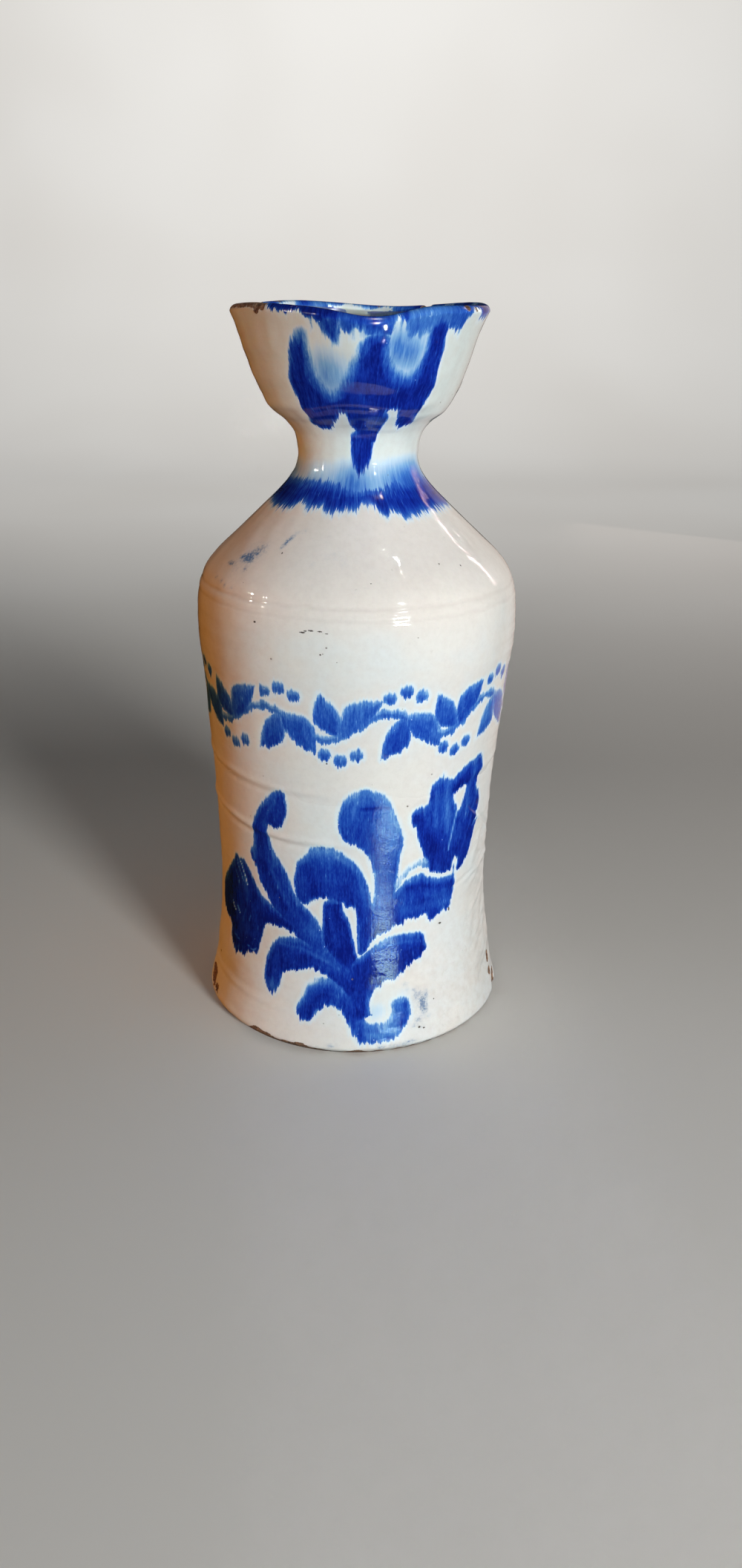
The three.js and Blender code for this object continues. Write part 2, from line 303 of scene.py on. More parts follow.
def distance_to(p, a, b):
    """Distance from points to the straight run between a and b."""
    side = b - a
    share = np.clip(((p - a) @ side) / max(side @ side, 1e-9), 0, 1)
    return np.hypot(*(p - a - share[:, None] * side).T)


def inside_distance(outline, across, height):
    """Distance in millimetres from points of the wall to a closed outline: positive inside it."""
    loop = rounded(outline)
    near, p = close_to(loop, across, height, -NO_INK)
    nearest = np.full(len(p), -NO_INK)
    inside = np.zeros(len(p), bool)
    for a, b in zip(loop, np.roll(loop, -1, 0)):
        nearest = np.minimum(nearest, distance_to(p, a, b))
        straddles = (a[1] > p[:, 1]) != (b[1] > p[:, 1])
        lift = b[1] - a[1] if abs(b[1] - a[1]) > 1e-9 else 1e-9
        inside ^= straddles & (p[:, 0] < a[0] + (p[:, 1] - a[1]) * (b[0] - a[0]) / lift)
    result = np.full(across.shape, NO_INK)
    result[near] = np.where(inside, nearest, -nearest)
    return result


# The spray on the front, as brush-stroke outlines in (across, height) on BODY_RADIUS.
# Each stroke: layer, thinness of the blue (0 is the deepest), outline
SPRAY = [
    # Tall stroke at the left
    (2, 0.12, [
        (-27, 106.3), (-25.6, 101), (-26.2, 96.5), (-27.8, 93), (-29, 90.9), (-32, 90.2), (-34.4, 91.4),
        (-34.9, 88), (-33.8, 84), (-31.8, 79.8), (-28.8, 75.8), (-26.2, 71.2), (-24.3, 66.3), (-21.2, 61.8),
        (-17.8, 58.8), (-14.2, 54.8), (-12, 51), (-10.5, 45), (-5, 38), (0, 32), (-4, 29), (-14, 40),
        (-24, 47.3), (-29, 52), (-33.5, 56), (-36.5, 61), (-40, 66), (-42, 71), (-45.2, 76), (-43.2, 81),
        (-42.6, 88), (-41, 93), (-38, 98), (-34, 102.5), (-30.5, 105.5),
    ]),
    # Lower left leaf
    (0, 0.1, [
        (-36, 21.5), (-34, 20), (-32, 21), (-30.2, 24.5), (-29.2, 29), (-28, 30.6), (-24, 32.1),
        (-19, 33.6), (-15.5, 33.9), (-11.5, 32.4), (-8, 29.9), (-4.5, 26.6), (2, 22), (4, 30), (-4, 40),
        (-14, 45.5), (-23.5, 46.2), (-27, 45.7), (-30.5, 44.3), (-33.3, 41.5), (-35.6, 38), (-37, 34),
        (-37.7, 29.5), (-37.6, 25),
    ]),
    # Curl at the bottom left
    (1, 0.16, [
        (-21.5, 14), (-19, 12.2), (-16.5, 13), (-14.7, 15.3), (-13.6, 17.4), (-11.2, 19), (-8.3, 19.8),
        (-5.8, 18.7), (-4.2, 16.4), (-2.4, 13.6), (-0.9, 10.5), (1, 8), (3, 5.5), (4, 20), (1, 25),
        (-2, 26.4), (-4.4, 27.8), (-7, 30), (-10, 31.2), (-13.4, 30.9), (-16.2, 29.4), (-18.2, 27),
        (-19.3, 24), (-20.6, 21), (-22.2, 17.8), (-22.4, 15.6),
    ]),
    # Hook at the bottom right
    (2, 0.27, [
        (-1, 10.5), (1.2, 7.3), (2.6, 5.4), (5.5, 4.8), (9.5, 5), (13.3, 5.3), (16.5, 6.8), (18.8, 9),
        (21.2, 11.5), (22.5, 14.5), (22.6, 17.5), (22, 20.3), (20.5, 22), (18, 22.3), (15.8, 21.6),
        (14.6, 20), (15, 17), (14, 14.7), (12.2, 13), (9.6, 12.9), (7, 12.7), (4.5, 14.5), (2, 18),
        (-2, 20),
    ]),
    # Stem and lower right leaf
    (3, 0.06, [
        (4.5, 41.5), (7, 43.5), (10, 45.5), (13.5, 47.3), (17, 48), (21, 48.4), (25, 47.8), (28, 47.2),
        (29.8, 46), (30.4, 43), (31, 40.3), (29, 38.8), (27, 36.3), (24.5, 35.5), (22.5, 34.3), (20.5, 33),
        (18.5, 31.6), (16.5, 30.3), (14, 30.2), (11.5, 29), (9.5, 27.4), (7.8, 25.6), (6.5, 23), (6.2, 20),
        (6.8, 17), (7.2, 15.8), (4.5, 15), (3, 12), (-0.6, 10.5), (-3.4, 20), (-4, 30), (-2, 38), (2, 40),
    ]),
    # Bud in the middle
    (0, 0.02, [
        (-11.7, 57), (-11.6, 61.5), (-10.5, 63.5), (-7, 65), (-4.4, 63.5), (-4, 61.5), (-3, 58.5),
        (-1.3, 55), (-0.3, 51), (0.4, 47), (1.1, 43), (1.8, 40), (0, 34), (-6, 36), (-11, 44), (-12.1, 50),
        (-11.9, 54),
    ]),
    # Arch
    (1, 0.14, [
        (-23.5, 67), (-24, 70), (-23, 74), (-22, 78), (-20.3, 80), (-18, 82), (-16, 85), (-13, 85.8),
        (-9, 85.6), (-6, 84.6), (-3, 82.8), (0.2, 80.3), (2.9, 76.8), (5, 72.6), (6.6, 67.4), (7.3, 63.2),
        (8.6, 60), (8.2, 53), (7.4, 48), (5.8, 43.4), (3.2, 41), (2.2, 42), (2, 46), (1.8, 51), (1.6, 56),
        (1.3, 59), (0.3, 61.3), (-1, 61.8), (-2, 61), (-3, 62), (-4, 63.5), (-5.5, 62.7), (-7.5, 63.5),
        (-9, 63.2), (-9.8, 64.4), (-12, 64.3), (-14.5, 63.7), (-16.3, 62.2), (-18, 60.8), (-20.2, 60.9),
        (-22.2, 62.4), (-23.3, 65),
    ]),
    # Tall paddle
    (0, 0.2, [
        (-5.6, 94), (-5.8, 97), (-5.5, 100), (-3.9, 104.6), (-1.3, 107.5), (1.8, 109.1), (4.6, 109.5),
        (8.3, 108.6), (11.6, 106.6), (14, 103), (15.7, 99), (17.5, 94.5), (19, 90), (19.3, 86), (18.3, 81),
        (17.8, 77), (17.8, 74), (17.4, 70), (16.6, 66), (15, 58), (12, 52), (8.5, 48), (6.6, 44.5),
        (5.6, 43), (5.9, 46), (6.6, 52), (7.1, 57), (7.8, 62), (8.5, 66), (8.5, 70), (8, 74.5), (7.4, 77.6),
        (6.6, 80.4), (5.8, 82.8), (4.6, 84), (3.4, 85.6), (1.7, 86.4), (-0.4, 87.1), (-2.4, 88.2),
        (-3.6, 89.6), (-4.7, 91.4),
    ]),
    # Broad leaf at the right
    (2, 0.12, [
        (16.6, 66.5), (19, 69), (21.5, 71), (25, 72.3), (28.5, 72.3), (30.5, 70.8), (34, 69.3), (38, 68.2),
        (42, 67.6), (45, 67.8), (45.8, 65.5), (45.8, 62), (45, 59.3), (44, 57.5), (43.6, 54.4), (42, 52.8),
        (40.5, 53.2), (39.5, 54.2), (38.5, 52.7), (36.5, 52.9), (35, 51.6), (33.5, 51.2), (31.8, 52.8),
        (31, 54.6), (29.5, 54.6), (27.5, 54), (26, 53.8), (24, 54), (22, 53.5), (20.5, 52.2), (19, 52.7),
        (17, 52.5), (15, 50.9), (12.5, 50), (10, 49.3), (8.5, 47.8), (7, 45.5), (6.6, 47), (7.4, 53),
        (9, 60), (12, 65),
    ]),
    # Blossom at the left
    (3, 0.05, [
        (-56.6, 71.5), (-55, 72.4), (-53, 71), (-50.5, 72), (-47.6, 70.2), (-44.8, 67), (-42.6, 63.4),
        (-40.6, 61), (-38.6, 59.4), (-35.6, 58), (-33.6, 56.8), (-28, 55), (-20, 52), (-20, 48),
        (-24, 47.4), (-28, 48.3), (-31, 48.8), (-34, 48.8), (-37.3, 48.4), (-38.3, 46), (-39.8, 42),
        (-41, 38), (-41.8, 35), (-43, 33.6), (-46, 32.8), (-49, 31.5), (-50, 30), (-52.5, 30),
        (-54.5, 29.7), (-55.5, 28.6), (-57.8, 28.6), (-59.2, 30.2), (-61.1, 31.8), (-61.9, 35),
        (-61.9, 38.6), (-63, 39.9), (-65.6, 40.3), (-69, 41.6), (-71.6, 44), (-72.6, 48), (-72.2, 52.4),
        (-70.2, 56), (-67.6, 59), (-64.8, 61.4), (-62.8, 63.8), (-60.3, 66.5), (-57.8, 68.6),
    ]),
    # Blossom at the right, its left petals
    (0, 0.1, [
        (22.5, 95), (22.5, 98), (24.5, 99.4), (27, 100), (29.3, 100.6), (29.6, 103), (29.8, 106),
        (31, 108.6), (33, 110), (35.5, 110.2), (38, 109.4), (40.5, 108), (42, 104.6), (41.5, 101.4),
        (41.8, 99.4), (43, 97.8), (44, 96.3), (44.6, 94.5), (46, 92), (47, 87), (47, 82), (46.5, 79),
        (45.5, 76.5), (44.6, 75), (44, 73), (43.4, 70.2), (41.5, 70.5), (40, 70), (38, 70.1), (36, 70.6),
        (34.3, 71.2), (32.2, 72.2), (30.9, 73.9), (30.3, 76.5), (29, 79), (27.8, 82), (26.3, 85.5),
        (25.3, 88.5), (24.5, 91.5), (23.2, 93.3),
    ]),
    # Blossom at the right, its right petal, which bends over a patch of bare white
    (1, 0.08, [
        (38.6, 104.6), (40.4, 108), (43, 110), (46.5, 111.8), (49.5, 112.8), (52.5, 113.3), (55, 114.4),
        (57.8, 113.8), (58.8, 111.6), (59.4, 109), (58.4, 106.3), (57, 104.6), (56.2, 102.5), (56.5, 100.5),
        (58.3, 99), (59.6, 97), (60.3, 95), (60.4, 92.8), (59.6, 90), (58.4, 87.6), (57, 86), (58.6, 86.6),
        (59.2, 85.2), (58, 82.6), (56.6, 79), (55.6, 76.4), (54, 73.2), (51.8, 71.2), (50.6, 69.4),
        (48.4, 68.4), (46.7, 68.4), (46.5, 70.6), (47, 72.5), (46.5, 74.2), (45.3, 74.9), (44.2, 74.5),
        (42.5, 75), (40, 76), (39, 79), (39.5, 84), (41, 88), (42.5, 90.8), (44.3, 93.4), (46.2, 95),
        (47.6, 98.3), (48.6, 101), (48.9, 103.9), (47.4, 104.3), (45, 103.3), (43, 102.4), (41, 101.8),
    ]),
]

# Thin pale lines left by the edge of the brush, as (thinness, width, points)
LINES = [
    (0.58, 3.2, [(17.2, 68.5), (20, 73), (23.4, 75.8), (27.4, 77), (31.5, 75.6)]),
    (0.4, 1.3, [(17.4, 67.5), (20.4, 72.6), (24, 76), (28, 76), (31.5, 74)]),
    (0.05, 0.8, [(44.4, 58), (44.7, 62), (44.9, 67), (44.8, 71.4)]),
    (0.1, 1, [(54.6, 76.6), (56.6, 80.6), (59, 86.4)]), (0.62, 0.7, [(35.6, 109), (35.8, 111.4)]),
]

# Streaks that the brush left inside the strokes, as (how much thinner the blue, half width, points)
STREAKS = [
    (0.42, 0.45, [(44.4, 95.5), (43.4, 91), (41.8, 85), (41, 79)]),
    (0.14, 1.5, [(37.4, 106), (38.8, 97), (39.4, 88)]), (0.14, 1, [(33, 108), (32.6, 98), (33.4, 91)]),
    (-0.08, 2.2, [(25, 96), (30, 88), (34, 78)]), (0.13, 1, [(54, 112), (51, 102), (50, 90)]),
    (0.12, 0.8, [(57, 98), (54, 88), (50, 78)]), (-0.12, 2, [(22, 67.5), (33, 66.5), (43, 64.5)]),
    # On the next line, the second streak, a dark line across the tall paddle, is a painted dark break in the
    # sheen on it
    (0.05, 1.6, [(20, 59), (30, 58), (42, 57)]), (-0.18, 0.7, [(3, 101.8), (9, 102), (16, 101.4)]),
    (0.8, 0.3, [(-52.6, 70.4), (-50.9, 68.2), (-49.4, 65), (-48.2, 61.5)]),
    (0.45, 0.3, [(-55, 69.6), (-53, 66), (-51, 62.4)]),
    (0.5, 0.24, [(-57, 64.6), (-55, 62.4), (-54, 59.6)]),
    (0.9, 0.34, [(-60.4, 49.4), (-59, 47.4), (-57.8, 46.8)]),
    (0.8, 0.28, [(-56.4, 49.2), (-55, 47.8), (-54.2, 46.4)]),
    (0.42, 0.32, [(-48.5, 34.9), (-45, 34.2), (-43, 35.4)]), (0.32, 0.35, [(-59, 36), (-54.5, 34.6)]),
    (0.3, 0.3, [(-47.5, 46), (-46.6, 48.6)]), (0.2, 0.4, [(-52, 44), (-50, 50)]),
    (0.16, 0.9, [(-41.5, 84), (-42.5, 75)]), (0.1, 1, [(-31, 102), (-37, 90)]),
    (0.1, 1, [(-34, 72), (-27, 60)]), (-0.06, 2, [(-40, 92), (-38, 74), (-28, 58)]),
    (0.3, 0.9, [(-20.6, 22), (-18.6, 27), (-14, 30)]), (-0.1, 2.2, [(-19, 15.5), (-15.5, 21), (-11, 25)]),
    (0.24, 1, [(15.4, 21.5), (15.6, 17), (14.4, 13.6)]), (-0.14, 1.4, [(20.8, 20), (20.8, 15), (18.4, 11)]),
    (0.16, 1.4, [(6, 8), (11, 7.4), (16, 9)]), (-0.1, 1.4, [(2.4, 12), (2.2, 8)]),
    (0.2, 0.8, [(6.6, 28), (5.2, 22), (5.4, 17)]), (0.12, 0.8, [(-6, 82), (1.5, 76), (4.5, 66)]),
    (-0.05, 2, [(-18, 76), (-16, 66)]), (0.1, 0.6, [(-9.5, 60), (-7, 48)]),
    (0.1, 0.7, [(1.5, 105), (-1, 96)]), (-0.06, 1.6, [(-36, 40), (-35, 28)]),
    (0.1, 0.8, [(-30, 42), (-20, 42), (-10, 38)]), (0.12, 0.6, [(-33, 30), (-34, 23)]),
    (0.12, 0.8, [(10, 44), (20, 45), (28, 44)]),
]

# The tulip on the mouth cup, on CUP_RADIUS
TULIP = [
    (0, 0.05, [
        (-15.6, 263), (-14.8, 258.5), (-14.3, 253), (-12.8, 248.5), (-11, 245.3), (-9, 243.4), (-7, 245),
        (-5, 248), (-2.5, 251.5), (-0.5, 255), (0.5, 258.5), (2.5, 261.3), (5, 262), (7.6, 261), (8.8, 257),
        (10.5, 252.5), (13, 249.8), (17, 249.3), (19.3, 251.5), (20.6, 256), (21, 261), (21.3, 267),
        (24, 269.5), (28.6, 269), (29, 264), (29, 260), (29.3, 256), (29.3, 252), (28.9, 248),
        (29.4, 244.5), (28.4, 241.5), (26.8, 238), (26.2, 234.6), (27.5, 232.3), (25, 231.3), (22, 230.5),
        (20, 231), (18, 232.5), (16.2, 234.5), (15.5, 236.6), (14, 237.4), (12, 237.8), (10.9, 236.3),
        (12.5, 235), (12.2, 232.5), (11, 229.5), (10.2, 227), (9.3, 224.3), (8.4, 221.5), (7, 219),
        (5.4, 217), (3.5, 215.6), (2, 214.4), (0.4, 214), (-1.2, 215.2), (-2.6, 217.3), (-3.6, 220),
        (-4.1, 223), (-4.2, 226), (-3.8, 228.6), (-1.4, 229.6), (-2.4, 230.7), (-4, 232), (-4.7, 234.5),
        (-5.3, 236.4), (-7.5, 235.6), (-9.5, 233.6), (-12, 231.6), (-15, 230), (-19, 230.2), (-22, 230.8),
        (-24.2, 232), (-22.8, 234), (-23.2, 236.5), (-24, 240), (-24.9, 244), (-24.7, 248), (-23.6, 252),
        (-21.6, 257), (-19.2, 260.6),
    ]),
]

# The blue band round the neck: its edges, as (degrees from the front, height)
BAND_TOP = [
    (-180, 212), (-150, 213), (-120, 211.5), (-90, 212.6), (-60, 212.3), (-30, 212.5), (-18, 212.2),
    (-10, 211.3), (-4, 210.4), (8, 210.2), (18, 211), (26, 212), (33, 213), (41, 211.8), (60, 212.8),
    (90, 211.8), (130, 213), (180, 212),
]
BAND_FOOT = [
    (-180, 203), (-140, 202), (-100, 203.5), (-50, 202.6), (-40, 205), (-33, 203.6), (-25, 204.5),
    (-18, 202.6), (-8, 203.4), (0, 204.4), (8, 206), (13, 203.6), (17, 201.6), (23, 203), (30, 201.4),
    (40, 202), (60, 202.6), (100, 202), (140, 203.6), (180, 203),
]

# Blue under the rim at the front, where it ran down in streaks
RIM_PAINT = [
    (1, 0.08, [
        (-27.6, 272), (-27.3, 268.4), (-25, 268.2), (-22, 267.8), (-19, 268.2), (-16.5, 267.6),
        (-14, 266.6), (-12, 265.6), (-10, 264.8), (-7.5, 265.4), (-5, 265.2), (-4.4, 267), (-4, 272),
    ]),
    (2, 0.2, [
        (-10.8, 267), (-10, 263.4), (-8.6, 261), (-7, 259.6), (-5.8, 258.2), (-5.1, 259.8), (-5, 267),
    ]),
    (3, 0.24, [
        (-5.2, 272), (-5, 264.6), (-2.6, 261.8), (-0.5, 263.4), (2, 261.2), (8, 261.6), (9, 266), (10, 272),
    ]),
    (1, 0.12, [(9.6, 272), (10, 266.4), (11.5, 265.2), (13.2, 265.6), (14.2, 272)]),
    (2, 0.38, [
        (12.6, 272), (12.8, 260.6), (14.6, 257.6), (16.4, 260.4), (18.4, 258.2), (20.6, 261.4), (28, 262.4),
        (29.4, 272),
    ]),
    (3, 0.28, [
        (27.8, 272), (28.4, 263.8), (30.8, 263.2), (33, 261.8), (35.4, 263.2), (37.6, 266), (39.4, 268.4),
        (41.5, 272),
    ]),
]

# Thin drips between them, as (across, top, foot, half width, thinness)
DRIPS = [
    (10.6, 267, 258.4, 0.45, 0.5), (12.4, 267, 259.4, 0.4, 0.55), (14.2, 266, 257.8, 0.45, 0.5),
    (15.9, 266, 259.6, 0.35, 0.55), (18.3, 266, 258.6, 0.4, 0.6), (-12.6, 267, 262.6, 0.35, 0.45),
    (-1.6, 265, 260.4, 0.45, 0.5), (1, 265, 260.8, 0.4, 0.55), (34.6, 266, 261.2, 0.4, 0.45),
]

# Dabs along the rim at the sides and back: (from, to, lowest height), across on CUP_RADIUS
RIM_DABS = [(44, 58, 266), (66, 82, 264.5), (92, 108, 265.5), (-88, -76, 264.5), (-108, -95, 265.5)]

# Soft patches, here and below as (across, height, half width, half height, amount): where the blue is thinner
THIN_PATCHES = [
    # The first two, at the right of the tall paddle, are partly a painted sheen: the blue is thinner where a
    # reflection runs down it
    (13.6, 99, 4.5, 6, 0.13), (15.5, 88, 3.6, 9, 0.12), (3, 106, 7, 3, 0.12), (-10, 84, 10, 2.6, 0.16),
    (-6, 81, 12, 3.5, 0.1), (43, 86, 4, 7, 0.08), (38, 98, 4.5, 8, 0.1), (28, 92, 4, 6, 0.06),
    (54, 108, 4, 4, 0.1), (52, 96, 4, 5, 0.08), (-34, 23, 3.2, 3, 0.18), (-19, 24, 2.4, 4.4, 0.1),
    (-14, 29.6, 5, 1.8, 0.12), (19, 17, 4.5, 6, 0.04), (13, 10, 5, 3, 0.14), (-32.5, 80, 2, 5, 0.12),
    (22, 70.5, 5, 2.4, 0.18), (28, 66, 12, 5, 0.06), (24, 57.5, 10, 3, 0.1), (40, 58, 5, 4, 0.12),
    (15, 44, 7, 4, 0.12), (14, 36, 6, 4, 0.1), (-16, 50, 6, 5, 0.14), (-8, 36, 7, 3, 0.1),
    (-13, 41, 6, 4, 0.06), (3, 24, 3.5, 6, 0.08), (-50, 64, 2, 5, 0.16), (-48, 58, 2, 3, 0.1),
    (8, 55, 3, 6, -0.06),
]

# Where the tulip's blue fades upwards, its amount in millimetres
SOFT_PATCHES = [
    (-12, 249, 6, 8, 4.2), (-5.5, 249, 5, 7, 3.2), (9.5, 254, 3.5, 7, 2.4), (16, 252, 6, 7, 4),
    (1, 258, 3, 5, 1.2), (21, 260, 1.6, 6, 1.2), (-17, 261, 3, 3, 2),
]

# Pale washes of blue in the tulip, and inside the hook at the foot of the spray
TULIP_WASHES = [(-11, 250, 4.5, 7, 1), (-6, 247, 5, 7, 1), (16, 256, 6, 7, 1.7), (10, 258, 3, 6, 1.2)]
HOOK_WASHES = [(9, 17.5, 4.5, 4, 1), (20, 24, 4, 3, 0.5), (3, 31, 3, 2, 0.5)]

# Blue-grey smudges that the brush left
STAINS = [
    (-34.8, 193.2, 1.2, 1.2, 0.8), (-33.2, 194.8, 1.3, 1, 0.7), (-35.8, 191.8, 0.9, 0.9, 0.5),
    (-31.2, 196.2, 1.6, 0.9, 0.3), (-50.5, 187.4, 2.6, 1.3, 0.9), (-47.8, 186.6, 2.2, 0.8, 0.6),
    (-53.4, 186.8, 2.4, 0.9, 0.6), (-47.6, 189.4, 2.4, 1.4, 0.4), (-58, 184.4, 2.8, 0.8, 0.6),
    (-47.5, 184, 1.1, 1, 0.5), (-44, 190.5, 3, 2, 0.2), (-40, 200, 5, 1.4, 0.16), (-50, 187, 10, 5, 0.12),
    (-40, 196, 5, 3, 0.08), (-18, 188, 2, 1.4, 0.16), (-13, 190, 1.4, 1.6, 0.14), (0, 181, 2.4, 1.2, 0.12),
    (22, 179, 1.6, 1.2, 0.12), (33, 176.4, 1, 0.8, 0.2), (-48, 190, 5, 3.4, 0.2), (-54, 182, 6, 4, 0.16),
    (-62, 179, 1.2, 0.8, 0.6), (-57, 178.6, 0.8, 0.7, 0.6), (-54, 177.6, 0.7, 0.8, 0.6),
    (-49.5, 177.6, 0.7, 0.7, 0.5), (-28, 197, 1.6, 0.9, 0.3), (-9, 191, 3.4, 3, 0.16),
    (-5, 188.6, 2, 2.2, 0.14), (21.4, 25, 0.9, 0.8, 0.5), (23.8, 24.4, 0.8, 0.7, 0.45),
    (28.3, 19, 1.4, 3.4, 0.5), (28.8, 15, 1.5, 2.6, 0.5), (25.5, 15, 4, 7, 0.22),
    (26.8, 8.4, 1.4, 1.2, 0.25), (18, 3.2, 5, 1.2, 0.42), (-8, 4, 2, 1, 0.5), (12, 3, 3, 0.8, 0.3),
    (20.6, 27.5, 1.6, 1, 0.45), (25.6, 22, 2, 3, 0.45), (29.8, 21, 0.9, 2.6, 0.4), (27.4, 17, 1, 2.2, 0.4),
    (25.6, 11.6, 1.4, 1.2, 0.4), (23.4, 9.6, 1.2, 0.8, 0.4), (30.5, 12, 1.2, 1, 0.3),
    (33, 22, 2.4, 3, 0.14), (10, 3.4, 1.2, 0.8, 0.5), (22, 4, 2, 0.8, 0.4),
]


def patches(marks, across, height):
    """Soft spots on the wall, added together."""
    total = np.zeros(across.shape)
    for s, z, half_width, half_height, amount in marks:
        total += amount * np.exp(-(((across - s) / half_width) ** 2) - ((height - z) / half_height) ** 2)
    return total


def streaks(marks, across, height):
    """Soft lines on the wall, added together."""
    total = np.zeros(across.shape)
    for amount, half_width, points in marks:
        near, p = close_to(points, across, height, 3 * half_width)
        chain = np.array(points, float)
        nearest = np.min([distance_to(p, a, b) for a, b in zip(chain, chain[1:])], 0)
        total[near] += amount * bell(nearest, 0, half_width)
    return total


def leaf(s, z, length, width, bearing):
    """A pointed brush dab from its root (s, z): bearing in degrees, anticlockwise from the right."""
    steps = [(0, 0.16), (0.22, 0.75), (0.48, 1), (0.74, 0.72), (1, 0.05)]
    turn = math.radians(bearing)
    along = np.array([math.cos(turn), math.sin(turn)]) * length
    side = np.array([-math.sin(turn), math.cos(turn)]) * width
    left, right = (
        [(s, z) + along * t + side * (hand * w + 0.35 * math.sin(math.pi * t)) for t, w in steps]
        for hand in (1, -1)
    )
    return left + right[::-1]


def dot(s, z, radius):
    return [(s + radius * math.cos(a), z + radius * math.sin(a)) for a in np.arange(8) * math.pi / 4]


def garland(start, end, height, period=44):
    """A plain painted garland round the belly: a waving stem with leaves and berries on it."""
    rng = np.random.default_rng(77)

    def wave(s):
        return height + 5 * math.sin(2 * math.pi * s / period)

    line = np.arange(start, end + 1, 2.5)
    top = [(s, wave(s) + 1.7 + 0.5 * math.sin(s * 0.9)) for s in line]
    under = [(s, wave(s) - 1.6 + 0.5 * math.sin(s * 1.3)) for s in line[::-1]]
    strokes = [(3, 0.36, top + under)]
    side = 1
    for s in np.arange(start + period / 4, end - period / 4, period / 2):
        root = wave(s)
        for layer, turn, size in ((0, 48, 1.0), (1, 122, 0.9)):
            bearing = side * (turn + rng.uniform(-7, 7))
            thin = rng.uniform(0.2, 0.36)
            strokes.append((layer, thin, leaf(s, root, 19 * size, 5.2 * size, bearing)))
        for k in (-1, 0, 1):
            strokes.append((2, 0.3, dot(s + 5.6 * k, root - side * (9.5 - 2.2 * abs(k)), 2.4)))
        side = -side
    return strokes


def ribbon(points, width):
    """The outline of a thin line that tapers towards its start."""
    p = np.array(points, float)
    run = np.gradient(p, axis=0)
    normal = np.stack([-run[:, 1], run[:, 0]], -1) / np.hypot(*run.T)[:, None]
    half = width / 2 * np.linspace(0.4, 1, len(p))[:, None]
    return np.concatenate([p + normal * half, (p - normal * half)[::-1]])


def lay_paint(strokes, across, height, ink, thin):
    """Adds brush strokes: how deep each point lies inside each layer's blue, and how thin the blue is."""
    for layer, thinness, outline in strokes:
        deep = inside_distance(outline, across, height)
        thin[(deep > ink.max(0)) & (deep > -2)] = thinness
        ink[layer] = np.maximum(ink[layer], deep)


def evened(field):
    """The field with each point averaged with its four neighbours, twice."""
    for _ in range(2):
        sides = np.roll(field, 1, 1) + np.roll(field, -1, 1)
        ends = np.concatenate([field[:1], field[:-1]]) + np.concatenate([field[1:], field[-1:]])
        field = (2 * field + sides + ends) / 6
    return field


def neck_band(degrees, z, out):
    """How deep each point lies inside the blue band round the neck, and where the band's foot is."""
    top, foot = smooth_curve(BAND_TOP)(degrees), smooth_curve(BAND_FOOT)(degrees)
    return np.where(out, np.minimum(z - foot, top - z), NO_INK), foot


def rim_dabs(turned, z, inner):
    """How deep each point lies inside the dabs along the rim, outside and inside the mouth."""
    dabs = np.full(z.shape, NO_INK)
    for start, end, foot in RIM_DABS:
        wide = (end - start) / 2 - np.abs(turned * CUP_RADIUS - (start + end) / 2)
        dabs = np.maximum(dabs, np.minimum(wide, (z - foot) * 0.8))
    dabs = np.where((z > 258) & ~inner, np.minimum(dabs, 4), NO_INK)
    from_behind = np.where(turned > 0, turned - 2 * math.pi, turned) + 3.14
    ragged = 1.2 * waves(turned, z, 54, 60, 0.5)
    gap = 3.8 - np.abs(from_behind * CUP_RADIUS) + ragged
    below = np.minimum(3, 1.4 * round_waves(turned, 51, 14) + (z - NEAR_RIM) * 0.6 + 0.7 * ragged)
    return np.maximum(dabs, np.where(inner & (z > 246), np.minimum(below, -gap), NO_INK))


